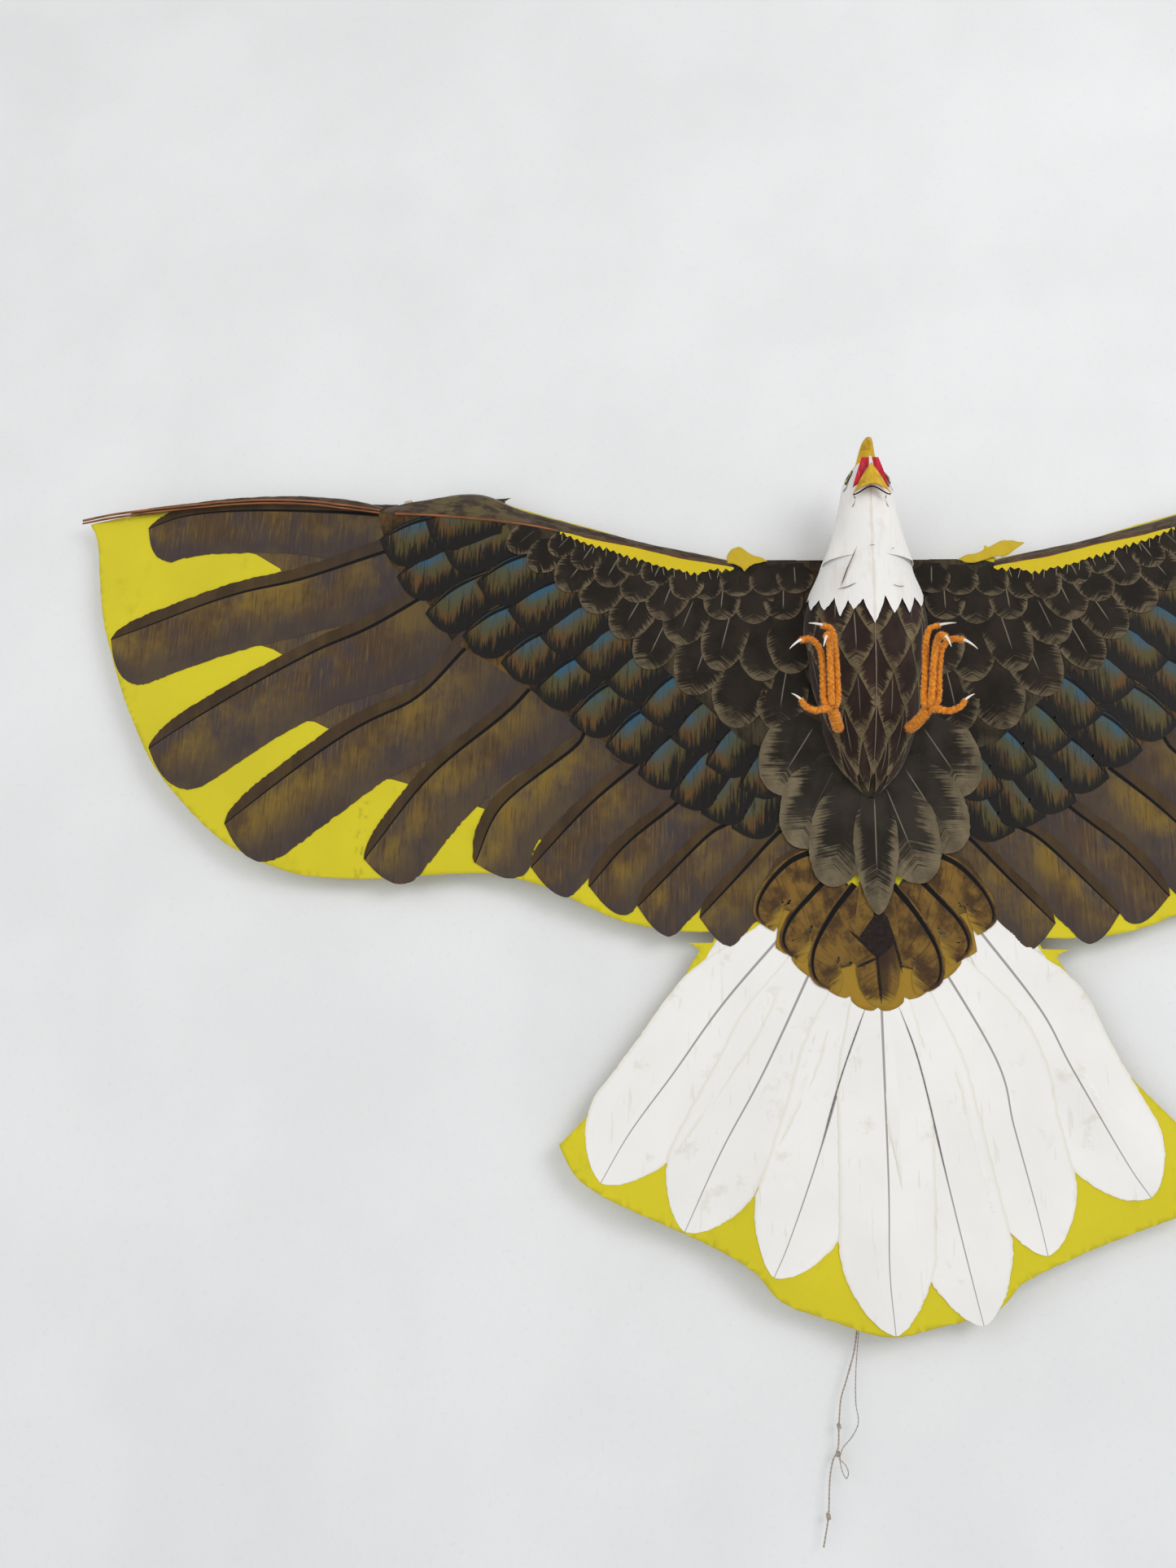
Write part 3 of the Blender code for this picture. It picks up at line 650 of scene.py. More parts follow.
def soften(loop, spacing, fray):
    """A loop with its shallow corners rounded, its sharp ones kept and its edge slightly frayed."""
    knots = [Vector(p) for p in loop]
    count = len(knots)

    def sharp(i):
        a = knots[i] - knots[i - 1]
        b = knots[(i + 1) % count] - knots[i]
        return a.angle(b, 0.0) > math.radians(48)

    made = []
    for i in range(count):
        b, c = knots[i], knots[(i + 1) % count]
        a = 2 * b - c if sharp(i) else knots[i - 1]
        d = 2 * c - b if sharp((i + 1) % count) else knots[(i + 2) % count]
        steps = max(1, round((c - b).length / spacing))
        for step in range(steps):
            t = step / steps
            place = 0.5 * ((2 * b) + (c - a) * t + (2 * a - 5 * b + 4 * c - d) * t * t
                           + (3 * b - a - 3 * c + d) * t ** 3)
            if step and fray:
                place += Vector((-(c - b).y, (c - b).x)).normalized() * fray * wobble(*(place * 160.0))
            made.append((place.x, place.y))
    return made


def inside(x, z, loop):
    """Whether a place lies inside a loop."""
    hit = False
    for (x0, z0), (x1, z1) in zip(loop, loop[1:] + loop[:1]):
        if (z0 > z) != (z1 > z) and x < (x1 - x0) * (z - z0) / (z1 - z0) + x0:
            hit = not hit
    return hit


def dense(start, end, step):
    """Points from one end of an edge up to the other, no more than a step apart."""
    count = max(1, math.ceil(math.hypot(end[0] - start[0], end[1] - start[1]) / step))
    return [(start[0] + (end[0] - start[0]) * k / count, start[1] + (end[1] - start[1]) * k / count)
            for k in range(count)]


def fill(loops, cell, cuts=()):
    """Triangles that cover every loop, with edges along the cuts."""
    points, edges, seen = [], [], {}

    def spot(x, z):
        key = (round(x, 5), round(z, 5))
        if key not in seen:
            seen[key] = len(points)
            points.append(Vector((x, z)))
        return seen[key]

    for loop in loops:
        row = [spot(*place) for a, b in zip(loop, loop[1:] + loop[:1]) for place in dense(a, b, cell)]
        edges += [(a, b) for a, b in zip(row, row[1:] + row[:1]) if a != b]
    for a, b in cuts:
        row = [spot(*place) for place in dense(a, b, cell)] + [spot(*b)]
        edges += list(zip(row, row[1:]))
    boxes = [(min(x for x, _ in loop), max(x for x, _ in loop),
              min(z for _, z in loop), max(z for _, z in loop)) for loop in loops]

    def covered(x, z):
        return any(x0 <= x <= x1 and z0 <= z <= z1 and inside(x, z, loop)
                   for loop, (x0, x1, z0, z1) in zip(loops, boxes))

    low_x, high_x = min(box[0] for box in boxes), max(box[1] for box in boxes)
    low_z, high_z = min(box[2] for box in boxes), max(box[3] for box in boxes)
    columns = range(math.floor(low_x / cell), math.ceil(high_x / cell) + 1)
    rows = range(math.floor(low_z / cell), math.ceil(high_z / cell) + 1)
    for i in columns:
        for j in rows:
            x, z = (i + 0.5 * (j % 2)) * cell, j * cell
            if covered(x, z):
                spot(x, z)
    verts, _, faces, *_ = delaunay_2d_cdt(points, edges, [], 0, 1e-6)
    kept = []
    for face in faces:
        x = sum(verts[i].x for i in face) / 3
        z = sum(verts[i].y for i in face) / 3
        if covered(x, z):
            kept.append((x, z, tuple(face)))
    return verts, kept


def cloth_piece(name, verts, faces, finish, behind=0.0):
    """A piece of kite cloth from filled triangles, with its flat area."""
    used = sorted({i for face in faces for i in face})
    order = {old: new for new, old in enumerate(used)}
    points, cut = [], []
    for old in used:
        x, z = verts[old]
        points.append(Vector((x, cloth_front(x, z) + behind, z)))
        cut.append((x, 0.0, z))
    made = [tuple(order[i] for i in face) for face in faces]
    area = sum(abs((verts[b] - verts[a]).cross(verts[c] - verts[a])) / 2 for a, b, c in faces)
    piece = make_piece(name, points, made, finish, {"cut": cut})
    thicken(piece, sizes().cloth, 0.0)
    xs = [p.x for p in points]
    zs = [p.z for p in points]
    return piece, (max(xs) - min(xs), max(zs) - min(zs)), area


# ---- painted feathers ------------------------------------------------------------------------------
class Coat:
    """Thin coats of paint laid over a surface, gathered into one piece."""

    def __init__(self, surface=on_cloth):
        self.surface = surface
        self.points, self.faces = [], []
        self.along, self.across, self.seed, self.barb, self.cut = [], [], [], [], []

    def dab(self, u, v, lift, along, across, seed, barb, offset):
        self.points.append(self.surface(u, v, lift))
        self.along.append(float(along))
        self.across.append(float(across))
        self.seed.append(float(seed))
        self.barb.append((barb, offset, seed * 9.0))
        self.cut.append((u, seed * 0.61, v))
        return len(self.points) - 1

    def feather(self, quill, above, below, lift, seed, tip=0.25, base=0.6, jag=0.0006, blunt=2.0, slant=0.6,
                rise=0.0, roll=0.0, drift=0.0):
        """A feather along its quill, from the root to the tip; below is the side nearer the tail.

        rise lifts the tip off what it overlaps, roll lifts the lower side, and drift slides it
        towards the tip."""
        path = spline(quill, 0.004)
        run = lengths(path)
        whole = run[-1]
        rows = max(12, round(whole / 0.0035))
        lean = path[-1] - path[0]
        turn = 1.0 if Vector((-lean.y, lean.x)).y < 0 else -1.0
        spread = (-1.0, -0.9, -0.65, -0.3, 0.0, 0.12, 0.3, 0.5, 0.7, 0.88, 1.0)
        grid = []
        for i in range(rows + 1):
            share = 1 - (1 - i / rows) ** 1.5
            gone = share * whole
            place, k = part_way(path, run, share)
            ahead = heading(path, k, 2)
            out = Vector((-ahead.y, ahead.x)) * turn
            width = base + (1 - base) * smooth_step(0.0, 0.4, share)
            if share > 1 - tip:
                width *= max(0.0, 1 - ((share - 1 + tip) / tip) ** blunt) ** (1 / blunt)
            row = []
            for t in spread:
                full = (below if t > 0 else above) * width
                fray = wobble(gone * 420.0, t * 3.0, seed=seed)
                rag = jag * (fray + 0.6 * wobble(gone * 1100.0, t, seed=seed))
                offset = full * t + (rag * (1 if t > 0 else -1) if abs(t) == 1.0 else 0.0)
                spot = place + out * offset + ahead * drift * t * width
                height = lift + rise * share + roll * t
                row.append(self.dab(spot.x, spot.y, height, share, t, seed, gone - slant * abs(offset), offset))
            grid.append(row)
        for low, high in zip(grid, grid[1:]):
            for j in range(len(spread) - 1):
                quad = (low[j], low[j + 1], high[j + 1], high[j])
                self.faces.append(quad[::-1] if turn > 0 else quad)

    def area(self, loop, lift, seed, cell=0.008):
        """A painted ground that fills an outline."""
        verts, faces = fill([loop], cell)
        start = len(self.points)
        for x, z in verts:
            self.dab(x, z, lift, 0.5, 0.5, seed, x, 0.02)
        self.faces += [tuple(start + i for i in face) for _, _, face in faces]

    def stroke(self, line, half, lift, seed=0.5):
        """A thin painted line that tapers at both ends."""
        path = spline(line, 0.002)
        run = lengths(path)
        before = None
        for k, place in enumerate(path):
            ahead = heading(path, k)
            out = Vector((-ahead.y, ahead.x))
            share = run[k] / run[-1]
            wide = half * max(0.12, min(1.0, 5 * share, 5 * (1 - share)))
            row = [self.dab(*(place + out * wide * t), lift, share, t, seed, run[k], wide * t) for t in (-1, 1)]
            if before:
                self.faces.append((before[0], row[0], row[1], before[1]))
            before = row

    def piece(self, name, finish):
        painted = {"along": self.along, "across": self.across, "seed": self.seed, "barb": self.barb,
                   "cut": self.cut}
        return make_piece(name, self.points, self.faces, finish, painted)


def mirrored(points, side):
    """Places drawn for the left of the kite, on either side."""
    return [(-side * x, z) for x, z in points]


# ---- the stuffed body and head ---------------------------------------------------------------------
# height as a share of the body from the neck down, half width share, depth share
BODY_SHAPE = [(0.0, 0.770, 0.98), (0.097, 0.900, 1.00), (0.204, 1.000, 0.98), (0.350, 0.985, 0.93),
              (0.534, 0.865, 0.84), (0.704, 0.745, 0.70), (0.835, 0.560, 0.50), (0.932, 0.330, 0.28),
              (1.0, 0.080, 0.10)]
# height share from the neck up, half width share, front and rear as shares of the head's depth
HEAD_SHAPE = [(0.00, 1.000, 0.061, 1.000), (0.20, 0.842, 0.026, 0.974), (0.42, 0.705, 0.009, 0.912),
              (0.62, 0.615, 0.000, 0.842), (0.78, 0.540, 0.026, 0.754), (0.90, 0.400, 0.100, 0.640),
              (1.00, 0.215, 0.185, 0.500)]
CHEST_HALF = BODY_BOX[1].x
CHEST_DEEP = BODY_BOX[1].y - BODY_BOX[0].y
NECK_Z = BODY_BOX[1].z
CROWN_Z = HEAD_BOX[1].z


def blend_rows(rows, share):
    """Smooth reading between the rows of a shape table."""
    share = min(1.0, max(0.0, share))
    for i in range(len(rows) - 1):
        if share <= rows[i + 1][0] or i == len(rows) - 2:
            break
    before = rows[max(i - 1, 0)]
    low, high = rows[i], rows[i + 1]
    after = rows[min(i + 2, len(rows) - 1)]
    t = (share - low[0]) / (high[0] - low[0])
    out = []
    for k in range(1, len(low)):
        m0 = (high[k] - before[k]) / (high[0] - before[0]) * (high[0] - low[0])
        m1 = (after[k] - low[k]) / (after[0] - low[0]) * (high[0] - low[0])
        out.append((2 * t ** 3 - 3 * t * t + 1) * low[k] + (t ** 3 - 2 * t * t + t) * m0
                   + (3 * t * t - 2 * t ** 3) * high[k] + (t ** 3 - t * t) * m1)
    return out


def body_place(angle, z, lift):
    """A place on the body's front; angle runs from flank to flank, 0 down the middle."""
    half, deep = blend_rows(BODY_SHAPE, (NECK_Z - z) / (NECK_Z - BODY_BOX[0].z))
    half = max(half, 0.02) * CHEST_HALF
    deep = max(deep, 0.02) * CHEST_DEEP
    keel = 0.08 * (1.0 - abs(math.sin(angle))) ** 2
    x = half * math.sin(angle)
    y = BODY_BOX[1].y - deep * (0.92 * max(0.0, math.cos(angle)) ** 0.9 + keel)
    out = Vector((math.sin(angle) / half, -math.cos(angle) / deep, 0.0)).normalized()
    return Vector((x, y, z)) + out * lift


def head_place(angle, z, lift):
    """A place on the head; angle 0 is the front and pi the back."""
    share = (z - HEAD_BOX[0].z) / (CROWN_Z - HEAD_BOX[0].z)
    half, front, rear = blend_rows(HEAD_SHAPE, share)
    deep = HEAD_BOX[1].y - HEAD_BOX[0].y
    front = HEAD_BOX[0].y + front * deep
    rear = HEAD_BOX[0].y + rear * deep
    half *= HEAD_BOX[1].x
    middle, deep = (front + rear) / 2, (rear - front) / 2
    facet = 1.0 - 0.022 * abs(math.sin(angle * 2.5)) * smooth_step(1.0, 0.4, share)
    x = half * math.sin(angle) * facet
    y = middle - deep * math.cos(angle) * facet
    out = Vector((math.sin(angle) / half, -math.cos(angle) / deep, 0.0)).normalized()
    return Vector((x, y, z)) + out * lift


def hood_place(angle, z, lift):
    """The white hood: the head above the neck, easing on to the body below it."""
    ease = smooth_step(NECK_Z - 0.016, NECK_Z + 0.022, z)
    low = body_place(angle, min(z, NECK_Z), lift)
    high = head_place(angle, max(z, NECK_Z), lift)
    place = low.lerp(high, ease)
    place.z = z
    return place


def on_body(u, z, lift):
    """Body place from a distance round the widest section."""
    return body_place(u / CHEST_HALF, z, lift)


def on_head(u, z, lift):
    return hood_place(u / HEAD_BOX[1].x, z, lift)


def grid_faces(rows, columns, closed):
    faces = []
    last = columns if closed else columns - 1
    for i in range(rows - 1):
        for j in range(last):
            k = (j + 1) % columns
            faces.append((i * columns + j, (i + 1) * columns + j, (i + 1) * columns + k, i * columns + k))
    return faces


# ---- operators -------------------------------------------------------------------------------------
class KITE_OT_camera(bpy.types.Operator):
    """Places the camera in front of the left wing, a little below the kite and looking up"""

    bl_idname = "kite.camera"
    bl_label = "Camera"

    def execute(self, context):
        data = bpy.data.cameras.new("camera")
        data.lens = 27.03
        data.sensor_width = 36.0
        data.clip_start = 0.01
        camera = bpy.data.objects.new("camera", data)
        turn = (Matrix.Rotation(math.radians(4.5), 4, "Z") @ Matrix.Rotation(math.radians(15.0), 4, "X")
                @ Matrix.Rotation(math.radians(-1.67), 4, "Y") @ Matrix.Rotation(math.radians(90.0), 4, "X"))
        camera.matrix_world = Matrix.Translation((-0.1669, -1.023, -0.4852)) @ turn
        context.scene.collection.objects.link(camera)
        context.scene.camera = camera
        context.scene.view_settings.view_transform = "Standard"
        return {"FINISHED"}


LINE_ROUTE = mm([
    (-6, -7.5, -347), (-7.5, -6.8, -410), (-11, -6.2, -490), (-15, -6, -570), (-20, -6.2, -630),
    (-24.5, -6.4, -665), (-31.5, -6.4, -689), (-36.5, -6.4, -704), (-38.5, -6.4, -723),
    (-39.5, -6.4, -738), (-44, -6.4, -748), (-46.5, -6.4, -762), (-48, -6.4, -785), (-52, -6.4, -806)
])
STRAND_ROUTE = mm([
    (-3, -11, -347), (-5, -10.8, -410), (-9, -10.5, -490), (-14, -10.2, -570), (-19, -9.8, -630),
    (-22.5, -9.6, -660), (-25, -9.4, -685), (-25.5, -9.2, -705), (-24, -9, -719), (-29, -9, -729),
    (-36, -9, -737), (-38.5, -9, -744), (-37.5, -9, -752), (-34.5, -9, -758), (-32.5, -9, -754.5),
    (-34.5, -9, -749), (-39.5, -8.6, -745)
])


def twisted(path, radius, plies=2, pitch=0.006):
    """A line laid up from thin plies that wind round each other."""
    run = lengths(path)
    parts = []
    for ply in range(plies):
        strand = []
        for (place, _, normal, across), gone in zip(frames_along(path), run):
            angle = 2 * math.pi * (gone / pitch + ply / plies)
            out = normal * math.cos(angle) + across * math.sin(angle)
            strand.append(place + out * radius * 0.46)
        parts.append(sweep(strand, lambda share, gone, angle: radius * 0.54))
    return merge(parts)


def knot(place, ahead, radius, seed):
    """A small overhand knot: two turns of line pulled tight."""
    path = []
    across = ahead.orthogonal().normalized()
    third = ahead.cross(across)
    for i in range(41):
        share = i / 40
        angle = share * 4 * math.pi
        wide = radius * (1.15 + 0.25 * math.sin(angle * 0.5 + seed))
        path.append(place + ahead * radius * 3.2 * (share - 0.5) + (across * math.cos(angle)
                                                                     + third * math.sin(angle)) * wide)
    return sweep(path, lambda share, gone, angle: radius * 0.85)


class KITE_OT_lines(bpy.types.Operator):
    """Adds the tow line, its thinner strand and their knots"""

    bl_idname = "kite.lines"
    bl_label = "Tow line"

    def execute(self, context):
        finish = thread_finish("cotton line", colours().line)
        knots = []
        for place, ahead, size, seed in (((-0.0395, -0.0070, -0.7420), (-0.3, 0, -1), 0.0010, 0.4),
                                         ((-0.0385, -0.0064, -0.7230), (-0.1, 0, -1), 0.0009, 1.4),
                                         ((-0.0480, -0.0064, -0.7850), (-0.1, 0, -1), 0.0010, 2.1)):
            knots.append(knot(Vector(place), Vector(ahead).normalized(), size, seed))
        knot_piece = make_piece("line_knots", *merge(knots), finish)
        seat(knot_piece, "line", "root")
        for name, route, radius, end, along in (("tow_line", LINE_ROUTE, 0.00075, "knot", [knot_piece]),
                                                ("line_strand", STRAND_ROUTE, 0.0005, "knot", [])):
            path = spline(route, 0.0012)
            piece = make_piece(f"{name}_twist", *twisted(path, radius), finish)
            seat(piece, "line", "root", name)
        return {"FINISHED"}


class KITE_OT_cloth(bpy.types.Operator):
    """Adds the bare yellow cloth of the wings, the centre panel and the tail"""

    bl_idname = "kite.cloth"
    bl_label = "Cloth"

    def execute(self, context):
        cell = sizes().cell
        finish = cloth_finish("yellow kite cloth", colours().yellow)
        body = outline_of("body_sail")
        for side, word in SIDES:
            inner = outline_of(f"{word}_inner_sail")
            outer = outline_of(f"{word}_outer_sail")
            loops = [soften(inner, 0.004, 0.0006), soften(outer, 0.004, 0.0006), soften(body, 0.02, 0.0)]
            loops.append(self.bridge(body, inner, side))
            loops.append(self.bridge(inner, outer, side))
            cuts = [((side * x, -0.45), (side * x, 0.15)) for x in (SPLIT_X, PANEL_X)]
            verts, faces = fill(loops, cell, cuts)
            near = [f for x, _, f in faces if SPLIT_X < side * x < PANEL_X]
            far = [f for x, _, f in faces if side * x > PANEL_X]
            piece, flat, area = cloth_piece(f"{word}_wing_cloth", verts, near, finish)
            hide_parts(f"{word}_inner_sail")
            bend_with(piece, False)
            piece, flat, area = cloth_piece(f"{word}_wing_tip_cloth", verts, far, finish)
            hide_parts(f"{word}_outer_sail")
            bend_with(piece, True)
        verts, faces = fill([soften(body, 0.02, 0.0)], cell,
                            [((x, -0.45), (x, 0.15)) for x in (-SPLIT_X, SPLIT_X)])
        middle = [f for x, _, f in faces if abs(x) < SPLIT_X]
        piece, flat, area = cloth_piece("centre_cloth", verts, middle, finish)
        seat(piece, "body_cloth", "root", "body_sail")
        tail = outline_of("tail_sail")
        wide = max(x for x, z in tail if z > TAIL_TOP - 0.002)
        strip = [(-wide, TAIL_TOP), (wide, TAIL_TOP), (wide - 0.006, TAIL_TOP + 0.016),
                 (-wide + 0.006, TAIL_TOP + 0.016)]
        verts, faces = fill([soften(tail, 0.004, 0.0006), strip], cell)
        piece, flat, area = cloth_piece("tail_cloth", verts, [f for _, _, f in faces], finish, 0.0)
        for vertex in piece.data.vertices:
            vertex.co.y += 0.0012 * smooth_step(TAIL_TOP, BODY_FOOT, vertex.co.z)
        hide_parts("tail_sail")
        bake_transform(piece)
        return {"FINISHED"}

    def bridge(self, near, far, side):
        """The strip of free cloth between two panels."""
        edge = max(side * x for x, _ in near)
        start = min(side * x for x, _ in far)
        a = [z for x, z in near if side * x > edge - 0.001]
        b = [(x, z) for x, z in far if side * x < start + 0.001]
        low, high = min(b, key=lambda p: p[1]), max(b, key=lambda p: p[1])
        return [(side * edge, min(a)), low, high, (side * edge, max(a))]


# quills drawn for the left wing from root to tip, width above and below the quill
FLIGHT = mm([
    ([(-425, 47), (-500, 53), (-590, 55), (-645, 50), (-680, 37)], 9, 45),
    ([(-405, 28), (-440, 13), (-520, -16), (-581, -32), (-641, -54), (-702, -78)], 12, 57),
    ([(-375, -12), (-405, -35), (-460, -70), (-507, -93), (-571, -130), (-650, -186)], 12, 60),
    ([(-335, -60), (-363, -89), (-404, -135), (-465, -169), (-571, -256)], 12, 58),
    ([(-280, -100), (-301, -126), (-324, -152), (-387, -211), (-442, -286)], 10, 50),
    ([(-232, -145), (-250, -169), (-260, -184), (-321, -236), (-343, -288)], 10, 47),
    ([(-180, -178), (-204, -199), (-246, -238), (-293, -292)], 10, 44),
    ([(-142, -208), (-168, -233), (-210, -269), (-242, -308)], 9, 42),
    ([(-100, -230), (-123, -250), (-143, -264), (-200, -324)], 9, 40),
    ([(-64, -244), (-84, -262), (-113, -295), (-147, -333)], 8, 37),
    ([(-46, -262), (-64, -281), (-77, -290), (-96, -326)], 8, 36)
])
NOTCHES = mm([
    (-440, 52), (-560, 44), (-594, 14.5), (-570, 8.5), (-545, -6.5), (-535, -30), (-560, -66),
    (-583, -76.5), (-562, -82.5), (-544, -88), (-515, -105), (-515, -135), (-531, -154), (-512, -159),
    (-497, -160), (-455, -180), (-458, -207), (-440, -212), (-422, -213), (-380, -226), (-322, -244),
    (-266, -280), (-228, -300), (-190, -314), (-140, -322), (-100, -322), (-100, -200), (-300, -40)
])
# scales of the two covert rows, drawn for the left wing: middle, lean of the quill below level
OUTER_SCALES = [((-0.414, 0.025), 17), ((-0.396, -0.009), 24), ((-0.368, -0.042), 32), ((-0.331, -0.068), 27),
                ((-0.295, -0.093), 30), ((-0.264, -0.118), 33), ((-0.232, -0.145), 36), ((-0.200, -0.169), 38),
                ((-0.172, -0.192), 42), ((-0.145, -0.211), 46), ((-0.119, -0.224), 50), ((-0.094, -0.236), 52)]
INNER_SCALES = [((-0.371, 0.041), 12), ((-0.353, 0.016), 18), ((-0.320, -0.016), 24), ((-0.290, -0.043), 26),
                ((-0.260, -0.066), 32), ((-0.229, -0.087), 34), ((-0.200, -0.110), 36), ((-0.171, -0.135), 40),
                ((-0.143, -0.159), 42), ((-0.114, -0.181), 46), ((-0.086, -0.200), 50)]
COVERT_GROUND = mm([
    (-455, 52), (-440, 0), (-405, -36), (-375, -81), (-342, -100), (-300, -128), (-261, -156),
    (-231, -178), (-198, -200), (-169, -222), (-140, -238), (-112, -250), (-75, -256), (-70, -150),
    (-300, 30), (-320, 47), (-400, 60), (-440, 56)
])
DOWN_GROUND = mm([
    (-345, 55), (-325, 30), (-270, -20), (-222, -63), (-177, -110), (-140, -145), (-110, -175),
    (-60, -190), (-60, -0.4), (-104, -0.4), (-118, -4), (-171, -6), (-208, 3), (-256, 21), (-280, 31)
])
# soft feathers near the body, drawn for the left wing: root, tip, width
DOWN_LARGE = mm([
    ((-100, -76), (-119, -163), 54), ((-68, -96), (-79, -166), 46), ((-137, -64), (-158, -132), 48),
    ((-94, -52), (-92, -119), 44), ((-118, -45), (-133, -109), 42), ((-66, -52), (-66, -112), 44),
    ((-152, -36), (-169, -84), 42), ((-72, -26), (-73, -60), 36), ((-98, -24), (-99, -64), 36),
    ((-126, -24), (-129, -60), 34), ((-86, -6), (-86, -36), 34), ((-112, -8), (-114, -37), 32),
    ((-62, -4), (-61, -34), 34), ((-140, -10), (-144, -40), 32)
])
DOWN_SMALL = mm([
    ((-178, -60), (-198, -108), 40), ((-196, -28), (-222, -78), 42), ((-226, -10), (-250, -52), 40),
    ((-250, 8), (-276, -30), 38), ((-278, 20), (-304, -10), 34), ((-300, 34), (-326, 10), 30),
    ((-170, -14), (-186, -60), 40), ((-196, -4), (-212, -42), 36), ((-222, 6), (-238, -26), 34),
    ((-246, 18), (-262, -8), 30), ((-156, -8), (-164, -40), 32), ((-182, 0), (-192, -26), 30),
    ((-208, 4), (-217, -14), 28), ((-268, 27), (-286, 6), 26)
])


def bend_with(piece, at_wrist):
    """Bakes a wing piece's place into its mesh, the same way at the shoulder and at the wrist."""
    if at_wrist:
        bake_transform(piece)
    else:
        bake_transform(piece)


def wing_ground(loop, lift, side, word, name, finish):
    """A painted ground under a wing's feathers, in one piece on each side of the panel seam."""
    verts, faces = fill([mirrored(loop, side)], 0.007, [((side * PANEL_X, -0.4), (side * PANEL_X, 0.1))])
    for part, wanted in (("inner", True), ("outer", False)):
        kept = [f for x, _, f in faces if (side * x < PANEL_X) == wanted]
        if kept:
            used = sorted({i for f in kept for i in f})
            order = {old: new for new, old in enumerate(used)}
            sheet = Coat()
            for i in used:
                sheet.dab(verts[i].x, verts[i].y, lift, 0.5, 0.5, 0.2, verts[i].x, 0.02)
            sheet.faces = [tuple(order[i] for i in f) for f in kept]
            bend_with(sheet.piece(f"{word}_{name}_{part}", finish), not wanted)


class KITE_OT_flight_feathers(bpy.types.Operator):
    """Paints the long flight feathers of both wings"""

    bl_idname = "kite.flight_feathers"
    bl_label = "Flight feathers"

    def execute(self, context):
        finish = flight_finish("flight feather paint")
        ground = flight_finish("flight ground paint", with_quill=False)
        coat = sizes().coat
        for side, word in SIDES:
            wing_ground(NOTCHES, 0.6 * coat, side, word, "flight_ground", ground)
            near, far = Coat(), Coat()
            for i, (quill, above, below) in enumerate(FLIGHT):
                sheet = far if i < 5 else near
                sheet.feather(mirrored(quill, side), above, below, 3.2 * coat, (0.13 + 0.61 * i) % 1.0,
                              tip=0.13, base=1.3, jag=0.0011, blunt=2.5, roll=-0.9 * coat, drift=0.010)
            bend_with(near.piece(f"{word}_short_feathers", finish), False)
            bend_with(far.piece(f"{word}_long_feathers", finish), True)
        return {"FINISHED"}


class KITE_OT_coverts(bpy.types.Operator):
    """Paints the two rows of dark, blue and gold covert scales"""

    bl_idname = "kite.coverts"
    bl_label = "Covert scales"

    def execute(self, context):
        finish = covert_finish("covert scale paint")
        ground = ground_finish("covert ground paint", paint(40, 32, 24), paint(104, 76, 38))
        coat = sizes().coat
        for side, word in SIDES:
            wing_ground(COVERT_GROUND, 3.6 * coat, side, word, "covert_ground", ground)
            near, far = Coat(), Coat()
            for row, scales in enumerate((OUTER_SCALES, INNER_SCALES)):
                for i, ((x, z), lean) in enumerate(scales):
                    turn = math.radians(lean)
                    ahead = Vector((-math.cos(turn), -math.sin(turn)))
                    up = Vector((-math.sin(turn), math.cos(turn)))
                    middle = Vector((x, z)) + up * 0.013
                    size = 1.0 - 0.014 * i
                    quill = [middle - ahead * 0.042 * size, middle + up * 0.0035,
                             middle + ahead * 0.036 * size - up * 0.004]
                    sheet = near if x > -PANEL_X else far
                    sheet.feather(mirrored([tuple(p) for p in quill], side), 0.0036, 0.042 * size,
                                  (5.0 + 1.2 * row) * coat, (0.37 + 0.47 * i + 0.21 * row) % 1.0, tip=0.40,
                                  base=0.8, jag=0.0006, blunt=2.5, slant=0.3, roll=0.8 * coat, drift=0.007)
            bend_with(near.piece(f"{word}_covert_scales", finish), False)
            bend_with(far.piece(f"{word}_wrist_scales", finish), True)
        return {"FINISHED"}


class KITE_OT_down(bpy.types.Operator):
    """Paints the soft dark feathers between the covert scales and the leading edge"""

    bl_idname = "kite.down"
    bl_label = "Soft feathers"

    def execute(self, context):
        tones = colours()
        coat = sizes().coat
        finish = down_finish("soft feather paint", tones.dark, tones.taupe)
        ground = ground_finish("soft ground paint", shade(tones.dark, 0.9), shade(tones.taupe, 0.5))
        for side, word in SIDES:
            wing_ground(DOWN_GROUND, 7.6 * coat, side, word, "soft_ground", ground)
            sheet = Coat()
            for i, (root, tip, width) in enumerate(DOWN_LARGE + DOWN_SMALL):
                middle = Vector(root).lerp(Vector(tip), 0.5) + Vector((0.002 * wobble(i * 1.7), 0.0))
                quill = mirrored([root, tuple(middle), tip], side)
                sheet.feather(quill, width / 2, width / 2, (8.3 + 0.06 * i) * coat, (0.2 + 0.38 * i) % 1.0,
                              tip=0.55, base=0.45, jag=0.0008, rise=1.6 * coat)
            bend_with(sheet.piece(f"{word}_soft_feathers", finish), False)
        return {"FINISHED"}


# belly feathers: root, tip, width
BELLY_OUTER = mm(((-44, -156), (-84, -222), 64))
BELLY = mm([
    ((-26, -192), (-66, -270), 62), ((26, -192), (72, -272), 62), ((-8, -208), (-39, -304), 58),
    ((10, -208), (43, -300), 60), ((3, -214), (3, -328), 38)
])
